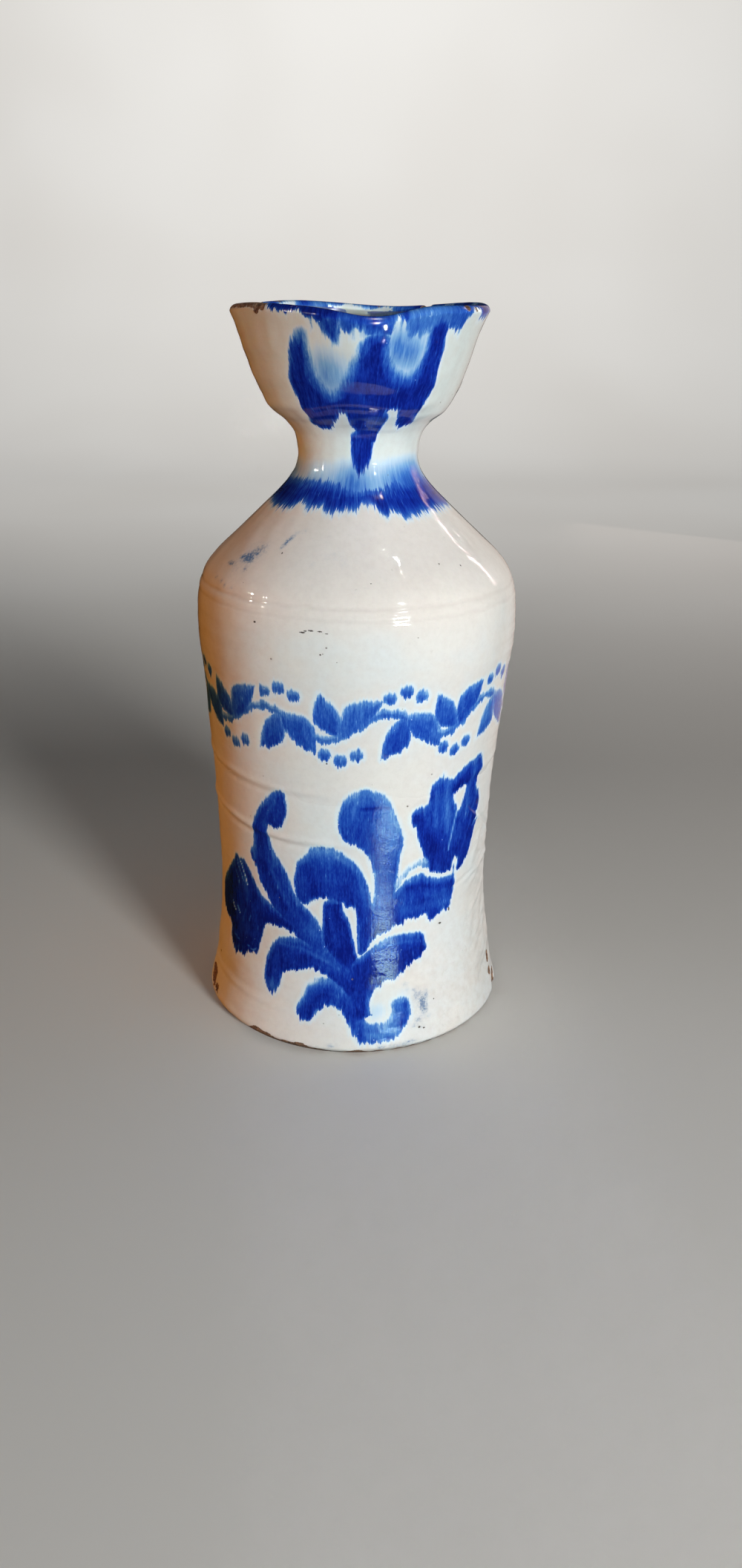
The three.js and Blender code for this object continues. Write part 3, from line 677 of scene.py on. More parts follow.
def paint(angle, height, part, turned, z):
    """The brushwork as fields over the skin, and where the rim was missed by the brush."""
    inner = part == INNER
    out = np.broadcast_to((part == OUTER) | (part == LIP), z.shape)
    on_body = np.where(out & (z < BODY_PAINT_TOP), turned * BODY_RADIUS, OFF)
    on_cup = np.where(out & (z > CUP_PAINT_FOOT), turned * CUP_RADIUS, OFF)
    ink, thin = np.full((len(INKS), *z.shape), NO_INK), np.zeros(z.shape)
    lines = [(i % 4, thinness, ribbon(points, width)) for i, (thinness, width, points) in enumerate(LINES)]
    lay_paint(SPRAY + lines + garland(-148, 148, 133.5), on_body, z, ink, thin)
    lay_paint(TULIP, on_cup, z, ink, thin)
    at_rim = np.where(z > RIM_PAINT_FOOT, on_cup, OFF)
    lay_paint(RIM_PAINT, at_rim, z, ink, thin)
    for s, top, foot, half, thinness in DRIPS:
        bar = [(s - half, top), (s + half, top), (s + half * 0.6, foot), (s - half * 0.6, foot + 0.6)]
        lay_paint([(1, thinness, bar)], at_rim, z, ink, thin)

    band, band_foot = neck_band(np.degrees(turned), z, out)
    dabs = rim_dabs(turned, z, inner)
    missed = bell(turned * CUP_RADIUS, -43, 14) > 0.4
    crest = (height - 268.9) * 1.1 - 0.3 + 0.5 * round_waves(angle, 53, 26)
    crest = np.where((height > 262) & (inner | ~missed), crest, NO_INK)
    deepest = ink.max(0)
    for field, least, thinness in (
        (band, -6.9, 0.09 + 0.46 * smoothstep(4, -3, z - band_foot)),
        (dabs, -1.5, np.where(inner, 0.52, 0.4) + 0.1 * waves(turned, z, 52, 14, 0.1)),
        (crest, -1.5, 0.22 + 0.14 * waves(turned, z, 57, 30, 0.1)),
    ):
        thin = np.where((field > deepest) & (field > least), thinness, thin)
    ink[1] = np.maximum(ink[1], np.maximum(band, dabs))
    ink[2] = np.maximum(ink[2], crest)

    cup = np.where(z > 225, on_cup, OFF)
    thin = evened(thin + patches(THIN_PATCHES, on_body, z)) + streaks(STREAKS, on_body, z)
    blur = patches(SOFT_PATCHES, cup, z)
    near_band = out & (z > NECK_ZONE[0]) & (z < NECK_ZONE[1])
    comb = np.where(near_band, COMB_NECK, np.where(out & (z > RIM_ZONE_FOOT), COMB_RIM, COMB_BODY))
    comb = comb * (1 - 0.13 * np.clip(blur, 0, 5))
    blur = blur + np.where(near_band, 0.5 * smoothstep(206, 211, z), 0)

    strong = 0.62 + 0.38 * smoothstep(4, 22, turned * CUP_RADIUS) + 0.2 * round_waves(turned, 58, 10)
    above_band = smoothstep(224, 211, z) ** 1.2 * smoothstep(206, 210, z) * near_band * strong
    below_band = bell(z, band_foot - 0.2, 1.6) * near_band
    pale = 0.26 * patches(TULIP_WASHES, cup, z) + 0.12 * patches(HOOK_WASHES, on_body, z)
    fields = {
        "thin": np.clip(thin, -0.1, 1),
        "comb": comb,
        "blur": blur,
        "wash": np.clip(np.where(out, 0.52 * above_band + 0.03 * below_band + pale, 0), 0, 1),
        "stain": patches(STAINS, np.where(out, turned * BODY_RADIUS, OFF), z),
        "inside": inner,
    }
    return ink, fields, missed


# Where the foot is rubbed bare higher up, as (how much higher, across, half width)
FOOT_RUBS = [(3.0, -38, 7), (2.1, -22, 9), (1.5, 1.5, 3)]


def wear(angle, height, part, missed):
    """How bare the clay is along the lip and round the foot, from 0 to 1."""
    lip = (part == LIP) | ((np.abs(height - RIM) < 3.4) & (part != BASE))
    worn = smoothstep(RIM - 2.0, RIM - 0.4, height) * (0.06 + 0.22 * waves(angle, height, 70, 22, 0.3))
    worn = np.where(missed, np.maximum(worn, 0.75 * smoothstep(RIM - 2.6, RIM - 1.2, height)), worn)
    across = angle * BODY_RADIUS
    rub = 0.9 + sum(more * bell(across, s, half) for more, s, half in FOOT_RUBS)
    rub = rub + 0.9 * smoothstep(75, 100, np.abs(across)) + 0.35 * round_waves(angle, 72, 60)
    outside = (part == OUTER) | (part == LIP)
    foot = np.where(outside, smoothstep(rub + 0.5, rub - 0.3, height), part == BASE)
    return np.maximum(foot, np.where(lip, worn, 0))


def new_mesh(name, points, faces, material):
    mesh = bpy.data.meshes.new(name)
    mesh.from_pydata((points.reshape(-1, 3) * MM).tolist(), [], faces)
    mesh.shade_smooth()
    mesh.materials.append(material)
    piece = bpy.data.objects.new(name, mesh)
    bpy.context.scene.collection.objects.link(piece)
    return piece


def store(piece, shape, fields):
    """Keeps fields over a surface as attributes of its mesh."""
    for name, values in fields.items():
        field = piece.data.attributes.new(name, "FLOAT", "POINT")
        field.data.foreach_set("value", np.array(np.broadcast_to(values, shape), np.float32).ravel())


def grid_faces(rows, columns):
    """Quads of a grid that closes on itself round its columns, with a cap on its first and last row."""
    r, c = np.meshgrid(np.arange(rows - 1), np.arange(columns), indexing="ij")
    n = (c + 1) % columns
    quads = np.stack([r * columns + c, r * columns + n, (r + 1) * columns + n, (r + 1) * columns + c], -1)
    last = (rows - 1) * columns
    return quads.reshape(-1, 4).tolist() + [list(range(columns))[::-1], list(range(last, last + columns))]


def body_columns():
    """Angles round the jug from the middle of its front, closest together where the brushwork is."""
    front = np.arange(-FRONT_REACH, FRONT_REACH, FRONT_STEP)
    back = np.arange(FRONT_REACH, 360 - FRONT_REACH, BACK_STEP)
    angle = np.radians(np.concatenate([front, back]))
    return np.where(angle > math.pi, angle - 2 * math.pi, angle)[None, :]


def body_rows():
    """The rings of the skin, from the middle of the base over the lip to the middle of the floor."""
    rows = [(r, 0, BASE) for r in (0.6, 12, 24, 36, 46, 52, 56, 57.6)]
    rows += [(outer_radius(z), z, OUTER) for z in even_heights(outer_radius, 0, WALL_TOP, ROW_STEP)]
    inner, outer = inner_radius(WALL_TOP), outer_radius(WALL_TOP)
    for turn in np.radians(np.arange(15, 180, 15)):
        radius = (inner + outer) / 2 + (outer - inner) / 2 * math.cos(turn)
        rows.append((radius, WALL_TOP + LIP_ROUND * math.sin(turn), LIP))
    fillet_top = FLOOR + FLOOR_FILLET
    cup = even_heights(inner_radius, CUP_INSIDE_FOOT, WALL_TOP, CUP_INSIDE_STEP)[::-1]
    body = even_heights(inner_radius, fillet_top, CUP_INSIDE_FOOT, BODY_INSIDE_STEP)[:-1][::-1]
    rows += [(inner_radius(z), z, INNER) for z in (*cup, *body)]
    flat = inner_radius(fillet_top) - FLOOR_FILLET
    for turn in np.radians(np.arange(15, 91, 15)):
        rows.append((flat + FLOOR_FILLET * math.cos(turn), fillet_top - FLOOR_FILLET * math.sin(turn), INNER))
    rows += [(r, FLOOR, INNER) for r in np.linspace(flat, 0.6, 12)[1:]]
    return (np.array(column)[:, None] for column in zip(*rows))


def build_body(material):
    """The thrown jug as one glazed surface: outside from foot to rim, over the lip, and down the inside."""
    angle = body_columns()
    radius, height, part = body_rows()
    outside, near_rim = (part == OUTER) | (part == LIP), height > NEAR_RIM
    chip, chip_bare = chip_marks(angle, height, CHIPS, BODY_RADIUS)
    rim_chip, rim_bare = chip_marks(angle, height, RIM_CHIPS, CUP_RADIUS)
    chip = np.where(outside, chip, 0)
    rim_chip = np.where(near_rim, rim_chip, 0)

    proud = np.where(outside, relief(angle, height), 0.25 * waves(angle, height, 44, 5, 0.25))
    proud = proud * np.where(outside, smoothstep(0, 4, height), smoothstep(FLOOR, FLOOR + 30, height))
    points = place(angle, radius, height, proud - np.where(near_rim, 0, chip))
    points[..., 2] += 0.5 * smoothstep(6, 0, height) * chip - rim_chip
    z = points[..., 2]
    turned = np.arctan2(points[..., 0] - lean_at(z), -points[..., 1])

    ink, fields, missed = paint(angle, height, part, turned, z)
    along = np.concatenate([[0], np.cumsum(np.hypot(np.diff(radius[:, 0]), np.diff(height[:, 0])))])
    fields["fall"] = np.clip(np.gradient(ink.max(0), along, axis=0), -1, 1)
    chipped = np.where(near_rim, rim_bare, chip_bare) * (part != INNER)
    fields["bare"] = np.clip(np.maximum(chipped, wear(angle, height, part, missed)), 0, 1)

    piece = new_mesh("jug_body", points, grid_faces(*z.shape), material)
    store(piece, z.shape, dict(zip(INKS, ink)) | fields)
    return piece


def handle_line():
    """The middle line of the handle as (outwards, height), the way outwards from it, and lengths along it."""
    corners = np.array([
        (outer_radius(TOP_ROOT) - 5, TOP_ROOT - 2.5),
        (HANDLE_REACH, TOP_ROOT + 30),
        (HANDLE_REACH, BOTTOM_ROOT + 34),
        (outer_radius(BOTTOM_ROOT) - 5, BOTTOM_ROOT - 2.5),
    ])
    t = np.linspace(0, 1, 1200)[:, None]
    shares = ((1 - t) ** 3, 3 * t * (1 - t) ** 2, 3 * t * t * (1 - t), t**3)
    fine = sum(corner * share for corner, share in zip(corners, shares))
    run = np.concatenate([[0], np.cumsum(np.hypot(*np.diff(fine, axis=0).T))])
    along = np.linspace(0, run[-1], HANDLE_ROWS)
    centre = np.stack([np.interp(along, run, fine[:, k]) for k in (0, 1)], -1)
    tangent = np.gradient(centre, axis=0)
    tangent /= np.hypot(*tangent.T)[:, None]
    return centre, np.stack([-tangent[:, 1], tangent[:, 0]], -1), along[:, None]


def build_handle(material):
    """The strap handle: pulled, bent, and thumbed on to the wall at both ends."""
    centre, outward, along = handle_line()
    length = along[-1, 0]
    share, from_end = along / length, np.minimum(along, length - along)
    root = (2 * share - 1) ** 4
    flare = np.exp(-((np.maximum(from_end - 4, 0) / 5.2) ** 1.5))
    wide = 12 + 2.5 * root + 5.5 * flare
    thick = 4.5 + 4.6 * flare + 0.25 * np.sin(share * 23)
    turn = np.linspace(0, 2 * math.pi, HANDLE_COLUMNS, endpoint=False)[None, :]
    across = np.sign(np.cos(turn)) * np.abs(np.cos(turn)) ** 0.78 * wide
    top_side = np.sin(turn) > 0
    groove = top_side * 1.1 * bell(across / wide, 0, 0.4) * (1 - root)
    ribs = 0.16 * np.sin(across * 1.6 + 0.6 * np.sin(share * 9)) * np.abs(np.sin(turn)) * (1 - flare)
    thumb = top_side * 1.9 * bell(length - along, 9, 7) * bell(across, 0, 8)
    out = np.sin(turn) * thick - groove + ribs + 0.18 * waves(turn, along, 90, 3, 0.12) - thumb
    y, z = (centre[:, k:k + 1] + outward[:, k:k + 1] * out for k in (0, 1))
    push = np.maximum((outer_radius(z) - 1.4) / np.hypot(across, y), 1)
    points = np.stack([across * push, y * push, z], -1)
    faces = [face[::-1] for face in grid_faces(*z.shape)]
    piece = new_mesh("jug_handle", points, faces, material)

    ink = np.full(z.shape, NO_INK)
    bow = 1.5 * np.cos(across / wide * 1.4)
    for middle in np.arange(24, length - 20, 13):
        stripe = 2.6 + 0.5 * np.sin(middle) - np.abs(along - middle - bow)
        stripe = np.minimum(stripe, wide + 2 - np.abs(across))
        ink = np.maximum(ink, np.where(np.sin(turn) > -0.15, stripe, NO_INK))
    fall = -np.clip(np.gradient(ink, axis=0), -1, 1)
    fields = {"thin": 0.18 + 0.1 * np.sin(along / 9), "fall": fall, "comb": 0.5}
    fields |= dict.fromkeys(INKS, ink) | dict.fromkeys(("blur", "wash", "bare", "stain"), 0)
    store(piece, z.shape, fields)
    return piece


def feed(target, term):
    if isinstance(term, Field):
        target.id_data.links.new(term.socket, target)
    else:
        target.default_value = term


def new_node(nodes, kind, inputs=(), **settings):
    """A shader node with its settings made and its inputs fed: inputs are (socket, term) pairs."""
    node = nodes.new("ShaderNode" + kind)
    for setting, value in settings.items():
        setattr(node, setting, value)
    for socket, term in inputs:
        feed(node.inputs[socket], term)
    return node


def arithmetic(operation):
    return lambda field, *others: field.math(operation, *others)


class Field:
    """A number, vector or colour that varies over a surface. Its arithmetic is built as shader nodes."""

    def __init__(self, socket):
        self.socket = socket

    def through(self, kind, *terms, **settings):
        nodes = self.socket.id_data.nodes
        return Field(new_node(nodes, kind, enumerate((self, *terms)), **settings).outputs[0])

    def math(self, operation, *others):
        return self.through("Math", *others, operation=operation)

    def step(self, low, high):
        """0 below low, 1 above high, smooth between. With low above high it runs the other way."""
        return self.through("MapRange", low, high, interpolation_type="SMOOTHSTEP")

    def scaled(self, factors):
        return self.through("VectorMath", factors, operation="MULTIPLY")

    __add__ = arithmetic("ADD")
    __sub__ = arithmetic("SUBTRACT")
    __mul__ = arithmetic("MULTIPLY")
    __truediv__ = arithmetic("DIVIDE")
    over = arithmetic("MAXIMUM")
    under = arithmetic("MINIMUM")


def srgb(*levels):
    """A colour from its 0 to 255 screen values, none of them near black."""
    return (*(((level / 255 + 0.055) / 1.055) ** 2.4 for level in levels), 1)


class Surface:
    """One material while it is being built."""

    def __init__(self, name):
        self.material = bpy.data.materials.new(name)
        self.material.use_nodes = True
        self.nodes = self.material.node_tree.nodes
        self.shader = self.nodes["Principled BSDF"]
        self.place = Field(self.node("TexCoord").outputs["Object"]).scaled([1 / MM] * 3)

    def node(self, kind, inputs=(), **settings):
        return new_node(self.nodes, kind, inputs, **settings)

    def parts(self, vector):
        return [Field(socket) for socket in self.node("SeparateXYZ", [(0, vector)]).outputs]

    def attribute(self, name):
        return Field(self.node("Attribute", attribute_name=name).outputs["Fac"])

    def noise(self, size, detail=2, roughness=0.5, where=None, squash=(1, 1, 1)):
        """Smooth noise between about -1 and 1, with lumps of the given size in millimetres."""
        where = (where or self.place).scaled(squash)
        inputs = [("Vector", where), ("Scale", 1 / size), ("Detail", detail), ("Roughness", roughness)]
        return (Field(self.node("TexNoise", inputs).outputs[0]) - 0.5) * 3.2

    def specks(self, where, spacing, radius, share):
        """1 inside scattered round specks, one in some cells of a grid this many millimetres apart."""
        node = self.node("TexVoronoi", [("Vector", where), ("Scale", 1 / spacing)])
        chance = self.parts(Field(node.outputs["Color"]))[0].step(1 - share, 1 - share + 0.02)
        return Field(node.outputs["Distance"]).step(radius / spacing, radius * 0.6 / spacing) * chance

    def mix(self, amount, under, over):
        inputs = [(0, amount), (6, under), (7, over)]
        return Field(self.node("Mix", inputs, data_type="RGBA").outputs[2])

    def ramp(self, amount, stops):
        node = self.node("ValToRGB", [(0, amount)])
        elements = node.color_ramp.elements
        while len(elements) < len(stops):
            elements.new(0.5)
        for element, (position, colour) in zip(elements, stops):
            element.position, element.color = position, colour
        return Field(node.outputs[0])

    def line(self, height, middle, half):
        """1 along a level line, falling to 0 this many millimetres above and below it."""
        return (height - middle).math("ABSOLUTE").step(half, 0)

    def bump(self, height, distance):
        node = self.node("Bump", [("Distance", distance * MM), ("Height", height)])
        feed(self.shader.inputs["Normal"], Field(node.outputs[0]))


WHITE_WARM = srgb(226, 223, 218)
WHITE_COOL = srgb(222, 225, 224)
WHITE_PINK = srgb(230, 224, 217)
WHITE_GREEN = srgb(218, 227, 225)
HALO = srgb(220, 233, 240)
DUST = srgb(176, 184, 192)
MOTTLE = srgb(198, 188, 180)
SMEAR = srgb(208, 196, 184)
DIRT = srgb(186, 172, 156)
GRIT = srgb(176, 176, 180)
# Grey in the seam grooves: dirt gathered in them, and painted shade that deepens the grooves' own shading
SEAM_DIRT_AND_SHADE = srgb(168, 156, 148)
# Painted shade: grey-brown laid over the inside of the jug, which lies in shadow
INSIDE_SHADE = srgb(116, 106, 100)
BLUES = [
    (0, srgb(226, 236, 240)),
    (0.12, srgb(194, 217, 232)),
    (0.3, srgb(130, 176, 220)),
    (0.5, srgb(66, 122, 202)),
    (0.7, srgb(34, 80, 180)),
    (0.85, srgb(19, 48, 156)),
    (1, srgb(11, 27, 120)),
]
CLAY = srgb(158, 122, 94)
CLAY_DARK = srgb(72, 50, 38)
STAIN_BLUE = srgb(44, 100, 156)
STAIN_PALE = srgb(142, 168, 188)
PIT = srgb(96, 80, 68)
SPECK = srgb(52, 40, 32)

# Dark specks in the glaze, as (across, height, half width, half height)
SPECKS = [
    (-17.4, 167.3, 1, 0.24), (-16.4, 167.9, 0.5, 0.2), (-14.5, 168.1, 0.9, 0.26), (-11.6, 168, 0.8, 0.22),
    (-9.4, 167.4, 0.5, 0.14), (-35.2, 168.6, 0.4, 0.3), (-11.4, 160, 0.3, 0.28), (25.6, 8.6, 0.55, 0.4),
    (27.4, 7.8, 0.4, 0.3), (37.6, 48.6, 0.7, 0.4), (42.8, 53, 0.4, 0.8), (-33.6, 190.2, 0.28, 0.26),
    (45, 186, 0.3, 0.3), (-10, 119.5, 0.3, 0.3), (33, 18, 0.3, 0.26),
]


def glaze(name, wrapped):
    """White tin glaze with brushed cobalt in it, bare clay where it is chipped or rubbed, pits and specks."""
    s = Surface(name)
    x, y, z = s.parts(s.place)
    wall = s.place
    if wrapped:
        reach = (x * x + y * y).math("SQRT").over(1)
        spread = z.step(180, 195) * (CUP_RADIUS - BODY_RADIUS) + BODY_RADIUS
        wall = Field(s.node("CombineXYZ", enumerate((x / reach * spread, y / reach * spread, z))).outputs[0])
    round_jug = x.math("ARCTAN2", y * -1) * BODY_RADIUS

    # How far inside the blue a point lies, with the streaks that the melting glaze pulled downwards
    hairs, fine, teeth, bristles = (
        s.noise(size, detail, roughness, wall, (1, 1, drawn))
        for size, drawn, detail, roughness in (
            (0.8, 0.13, 3, 0.6), (0.4, 0.25, 2, 0.6), (1.25, 0.06, 3, 0.7), (0.62, 0.05, 3, 0.7),
        )
    )
    deep = s.attribute(INKS[0])
    for ink in INKS[1:]:
        deep = deep.over(s.attribute(ink))
    fall, comb, blur = s.attribute("fall"), s.attribute("comb"), s.attribute("blur")
    lower, upper = fall.over(0), (fall * -1).over(0)
    bristly = bristles * (comb - 1).over(0)
    pulled = deep + teeth * comb * (lower * 1.25 + upper * 0.5 + 0.2) + bristly * (lower * 1.7 + 0.1)
    pulled = pulled + hairs * comb * (lower + upper + 0.3) * 0.5 + hairs * blur * 0.22 + fine * 0.26
    soft = blur + upper * 0.7 + 0.22
    cover = pulled.step(soft * -0.9, soft * 0.9)
    filled = pulled.step(0, blur * 2.2 + upper * 3 + 1.2)

    # How much blue there is at a point, from none to the deepest
    pool = s.noise(6, 3, 0.55, wall, (1, 1, 0.7))
    scratch = s.noise(0.6, 1, 0.5, wall, (1, 1, 0.14)).step(0.45, 1)
    full = s.attribute("thin") * -1.15 + 0.98
    tone = full * (filled * 0.3 + 0.7) + hairs * 0.13 + fine * 0.1 + pool * 0.08 - scratch * 0.26
    tone = tone + lower * 0.06 + bristly * 0.1
    veil = s.attribute("wash") * (hairs * 0.3 + teeth * 0.16 + 1)
    ticks = s.specks(wall.scaled((1, 1, 0.6)), 1.9, 0.17, 0.16)
    density = (cover * (tone - ticks * 0.5)).over(veil).under(1)
    blue = s.ramp(density, BLUES)
    ink = density.step(0, 0.12)

    # The white, with its patches, smears, dirt and smudges, and painted shade in the seam grooves and over
    # the inside
    patch = s.noise(22, 3, 0.55).step(-0.5, 0.6)
    shoulder = z.step(168, 180) * z.step(204, 196)
    dusty = s.noise(4.5, 3, 0.6, squash=(1, 1, 0.8)).step(0.5, 1.5) * shoulder
    smear = s.noise(9, 3, 0.6, wall, (0.35, 0.35, 1)).step(0.1, 0.9)
    stain = (s.attribute("stain") * (s.noise(0.9, 4, 0.7) * 1.3 + 1)).step(0, 1.1)
    dirt = s.noise(3.2, 4, 0.6).step(-0.5, 1) * z.step(62, 20) * round_jug.step(4, 40)
    sway = s.noise(14, squash=(1, 1, 0))
    seam = s.line(z + sway * 0.7, SEAM + 2.4, 1.1) * 0.8 + s.line(z + sway * 0.5, SEAM - 1.5, 1) * 0.6
    colour = s.mix(patch, WHITE_WARM, WHITE_COOL)
    for amount, tint in (
        (z.step(162, 176) * 0.85, WHITE_PINK),
        (z.step(204, 216) * 0.9, WHITE_GREEN),
        (dusty * 0.34, DUST),
        (s.noise(2.6, 3, 0.6).step(-0.6, 0.8) * 0.16, MOTTLE),
        (smear * 0.14, SMEAR),
        (pulled.step(-2, -0.2) * 0.8, HALO),
        (stain * 0.9, s.mix(stain, STAIN_PALE, STAIN_BLUE)),
        (dirt * 0.3, DIRT),
        (s.noise(1.1, 2, 0.6).step(0, 1.4) * 0.16, GRIT),
        # Painted shade, with dirt: grey along the two seam grooves
        (seam * (patch * 0.5 + 0.6) * 0.2, SEAM_DIRT_AND_SHADE),
        (ink, blue),
        # Painted shade: the inside of the jug is darkened towards grey-brown
        (s.attribute("inside") * 0.58, INSIDE_SHADE),
    ):
        colour = s.mix(amount, colour, tint)

    # Pits, specks and bare clay
    pits = s.specks(s.place, 5.5, 0.26, 0.2).over(s.specks(s.place, 9.5, 0.45, 0.1))
    colour = s.mix(pits * 0.75, colour, PIT)
    if wrapped:
        grain_edge = s.noise(0.5, 2, 0.6) * 0.5
        for place_s, place_z, half_width, half_height in SPECKS:
            aside, above = (round_jug - place_s) / half_width, (z - place_z) / half_height
            far = (aside * aside + above * above).math("SQRT") + grain_edge
            colour = s.mix(far.step(1.3, 0.8) * 0.95, colour, SPECK)
    bare = (s.attribute("bare") + s.noise(1.3, 4, 0.65) * 0.34).step(0.5, 0.66)
    grain = s.noise(0.9, 4, 0.7)
    colour = s.mix(bare, colour, s.mix(grain.step(-0.5, 0.6), CLAY_DARK, CLAY))
    feed(s.shader.inputs["Base Color"], colour)

    # The glaze's shine and its small relief: duller and rougher towards the foot, least so in the blue
    low = z.step(160, 90) * 0.12
    dense = density.step(0.15, 0.5)
    gloss = s.noise(14) * 0.02 + low * 2.1 - dense * low * 1.65 + 0.055
    feed(s.shader.inputs["Roughness"], gloss.over(bare * 0.85).over(pits * 0.6))
    feed(s.shader.inputs["Specular IOR Level"], dense * low * 4 + 0.42)
    orange_peel = s.noise(1.9) * (low * 0.6 + 0.08)
    ripple = s.noise(1, 2, 0.6) * dense * low * 0.7
    worn_zone = round_jug.step(26, 42) * round_jug.step(76, 64) * z.step(60, 38)
    lumps = s.noise(2.4, 2, 0.55).step(0.25, 0.9) * worn_zone * 1.7
    foot_line = s.line(z + sway * 0.4, 1.9, 0.6) * round_jug.step(0, 8) * 1.2
    pimples = s.specks(s.place, 6.5, 0.5, 0.3)
    height = orange_peel + hairs * dense * 0.1 + ripple - seam * 0.85 + lumps - foot_line + pimples * 0.9
    s.bump(height - pits * 1.6 - bare * 1.2 + grain * bare * 0.3, 0.12)
    return s.material


body = build_body(glaze("painted_tin_glaze", True))
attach(body, "root")
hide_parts("lower_body", "shoulder", "neck_and_mouth", "shoulder_seam_coil", "neck_seam_coil")

handle = build_handle(glaze("handle_tin_glaze", False))
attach(handle, "root")
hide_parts("strap_handle", "handle_top_wad", "handle_bottom_wad")

# The floor, which sweeps up into a pale backdrop far behind
BEND = 900
curve = [(1500 + BEND * math.sin(a), BEND - BEND * math.cos(a)) for a in np.radians(np.arange(6, 91, 6))]
sweep = [(-3000, 0), (1500, 0), *curve, (2400, 3000)]
floor_points = np.array([(x, y, z) for y, z in sweep for x in (-3500, 3500)])
floor_faces = [(2 * i, 2 * i + 1, 2 * i + 3, 2 * i + 2) for i in range(len(sweep) - 1)]
paper = Surface("pale_floor")
paper.shader.inputs["Roughness"].default_value = 0.7
tone = paper.noise(600).step(-0.6, 0.6)
feed(paper.shader.inputs["Base Color"], paper.mix(tone, srgb(222, 219, 214), srgb(228, 226, 222)))
floor = new_mesh("floor", floor_points, floor_faces, paper.material)
floor.visible_diffuse = False
floor.visible_glossy = False

JUG_MIDDLE = (0, 0, 0.14)
WHITE_LIGHT = (1, 1, 1)
PEACH = (1, 0.86, 0.72)


def area_light(name, place, aim, size, power, colour=WHITE_LIGHT, unseen_by=()):
    """A lamp whose face points at its aim, and which some kinds of ray don't see."""
    data = bpy.data.lights.new(name, "AREA")
    data.shape = "RECTANGLE"
    data.size, data.size_y = size
    data.energy = power
    data.color = colour
    light = bpy.data.objects.new(name, data)
    bpy.context.scene.collection.objects.link(light)
    light.location = place
    light.rotation_euler = (Vector(aim) - Vector(place)).to_track_quat("-Z", "Y").to_euler()
    for ray in unseen_by:
        setattr(light, "visible_" + ray, False)
    return light


area_light("window", (0.650, -1.110, 0.33), JUG_MIDDLE, (0.24, 0.056), 14.5, (1, 1, 0.985))
area_light("backdrop", (0, 0.9, 1.6), (0, 3.4, 0.6), (2.4, 0.8), 40)

# Small lamps and gaps of daylight, which only mirror in the glaze
for name, place_at, size, power, colour in (
    ("high_window", (0.610, -0.868, 0.830), (0.10, 0.10), 1.3, WHITE_LIGHT),
    ("ceiling_lamp", (0.311, -0.036, 1.407), (0.06, 0.06), 1.6, (1, 0.98, 0.94)),
    ("lamp_above", (0.456, -0.234, 1.302), (0.03, 0.02), 0.3, (1, 0.85, 0.75)),
    ("lamp_left", (-1.167, -0.127, 0.570), (0.05, 0.04), 1.6, (1, 0.85, 0.70)),
    ("lamp_far_left", (-1.097, -0.419, 0.586), (0.05, 0.04), 1.6, (1, 0.90, 0.80)),
    ("tall_gap", (0.790, 0.600, 0.620), (0.004, 0.5), 0.75, (1, 0.70, 0.68)),
):
    lamp = area_light(name, place_at, JUG_MIDDLE, size, power, colour, ["diffuse"])
# The last of them is a gap behind at the right, which leans a little
lamp.rotation_euler.rotate_axis("Z", math.radians(-20))

# Broad fills, which light the jug but don't mirror in its glaze. The last three reach the jug alone: the warm
# room at its left, the wall at its right, and a soft light behind it
jug_only = bpy.data.collections.new("jug_only")
jug_only.objects.link(body)
jug_only.objects.link(handle)
for name, place_at, size, power, colour, alone in (
    ("low_soft", (-0.165, -1.17, 0.35), (0.4, 0.4), 0.7, WHITE_LIGHT, False),
    ("top_soft", (0.168, -0.292, 1.396), (0.4, 0.4), 2.4, (1, 0.99, 0.97), False),
    ("warm_left", (-1.077, 0.190, 0.03), (0.4, 0.16), 7.7, (1, 0.35, 0.02), True),
    ("wall_right", (1.09, -0.095, 0.10), (0.4, 0.4), 1.2, WHITE_LIGHT, True),
    ("behind", (0.1, 1.1, 0.5), (0.9, 0.9), 7.0, (1, 0.99, 0.98), True),
):
    fill = area_light(name, place_at, JUG_MIDDLE, size, power, colour, ["glossy"])
    fill.data.use_shadow = name != "top_soft"
    if alone:
        fill.light_linking.receiver_collection = jug_only

# Daylight past the edge of a doorway, which stops short of the jug's left side
beam = area_light("doorway", (0.127, -1.170, 0.307), (0.023, 0, 0.14), (0.142, 0.42), 0.033, (0.72, 1, 1))
beam.visible_glossy = False
beam.data.spread = 0.03

# The pale room behind at the right, which only mirrors in the glaze
ONLY_MIRRORED = ("diffuse", "camera")
area_light("room_behind", (0.6, 0.922, 0.1), (0, 0, 0.1), (0.76, 1.2), 1.7, (1, 0.8, 0.7), ONLY_MIRRORED)

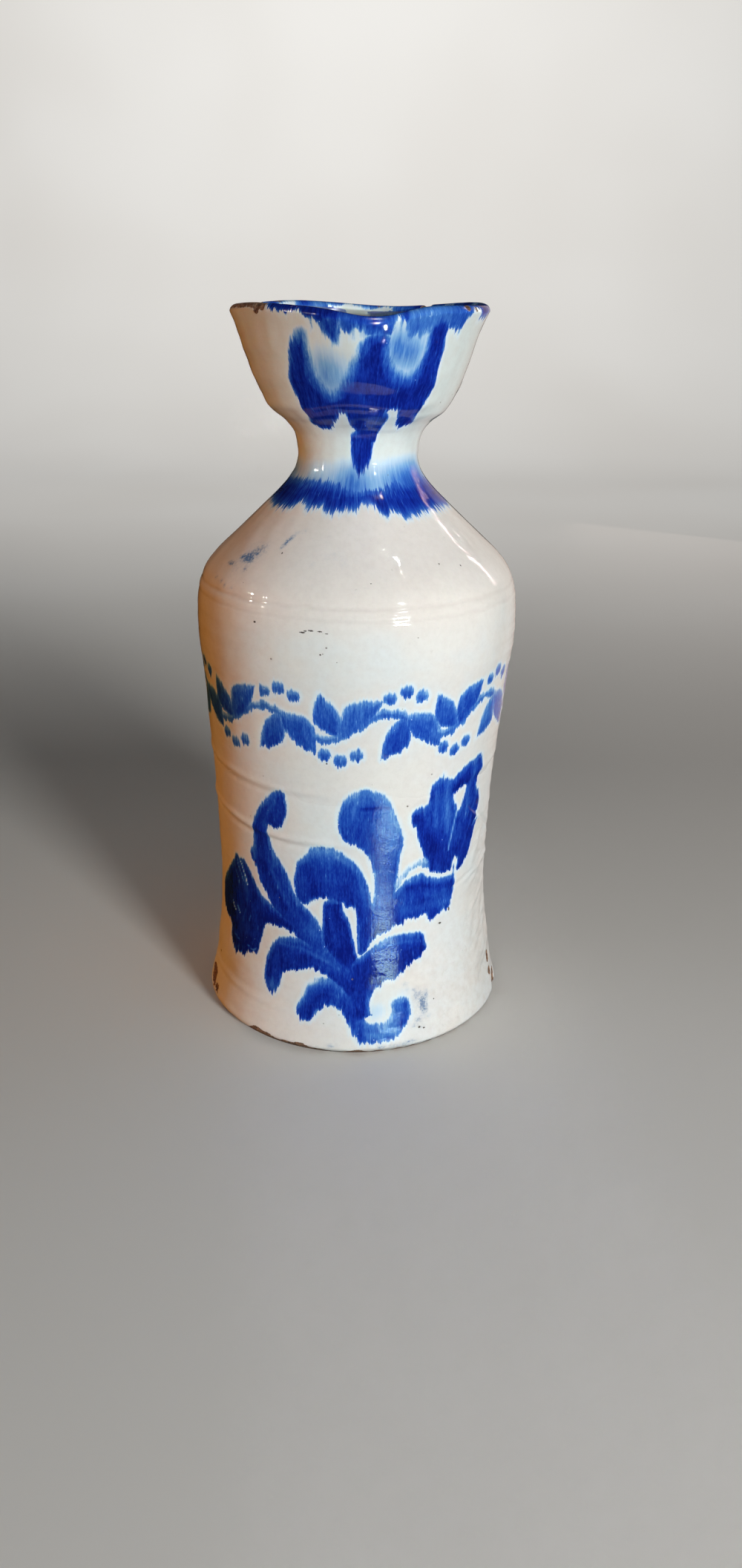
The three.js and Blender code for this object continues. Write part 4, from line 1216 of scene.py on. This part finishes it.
# Daylight on the table by the foot, which only mirrors in the blue: from and to in millimetres, degrees round
# from the front, and how strong
GLINT_RISE = 0.45
GLINT_WIDTH = 0.24
GLINT_POWER = 0.46
for near, far, azimuth, strength in (
    (146, 155, 22, 6.5), (158, 164, 22, 5.5), (181, 191, 19, 3.6), (205, 224, 25, 5),
):
    turn, middle = math.radians(azimuth), (near + far) / 2 * MM
    place_at = (middle * math.sin(turn), -middle * math.cos(turn), 0.003)
    size = (GLINT_WIDTH * middle, (far - near) * GLINT_RISE * MM)
    power = strength * GLINT_POWER * size[0] * size[1]
    aim = (0, 0, middle * GLINT_RISE)
    glint = area_light(f"glint_{near}", place_at, aim, size, power, (0.64, 1, 0.98), ONLY_MIRRORED)
    glint.data.spread = math.radians(64)

# Narrow beams, which only mirror at one place each: on the lip, and at two places on the neck
for name, spread, place_at, aim, size, power, colour in (
    ("lip_glint", 2, (0.2275, -0.1465, 0.003), (0.0082, -0.0512, 0.2662), (0.03, 0.003), 0.0002, WHITE_LIGHT),
    ("neck_glint", 2.4, (0.564, -1.012, 0.6), (0.0065, -0.0215, 0.2175), (0.26, 0.14), 0.014, WHITE_LIGHT),
    ("neck_star", 2.4, (-1.016, 0.047, 0.873), (-0.0155, -0.018, 0.2135), (0.09, 0.07), 0.001, PEACH),
):
    beam = area_light(name, place_at, aim, size, power, colour, ONLY_MIRRORED)
    beam.data.spread = math.radians(spread)

world = bpy.data.worlds.new("studio")
world.use_nodes = True
background = world.node_tree.nodes["Background"]
background.inputs["Color"].default_value = srgb(214, 212, 210)
background.inputs["Strength"].default_value = 0.012
bpy.context.scene.world = world

# The photograph's camera: its place, and how far it looks down, sideways and rolls
PITCH, YAW, ROLL = (math.radians(d) for d in (22.054, 0.811, 0.715))
lens = bpy.data.cameras.new("camera")
lens.sensor_width = 36
lens.lens = 27.84
lens.clip_start = 0.01
camera = bpy.data.objects.new("camera", lens)
bpy.context.scene.collection.objects.link(camera)
down = Matrix.Rotation(math.pi / 2 - PITCH, 4, "X")
turned = Matrix.Rotation(-YAW, 4, "Z") @ down @ Matrix.Rotation(ROLL, 4, "Z")
camera.matrix_world = Matrix.Translation((0, -0.4559, 0.2737)) @ turned
bpy.context.scene.camera = camera
bpy.context.scene.view_settings.view_transform = "Standard"
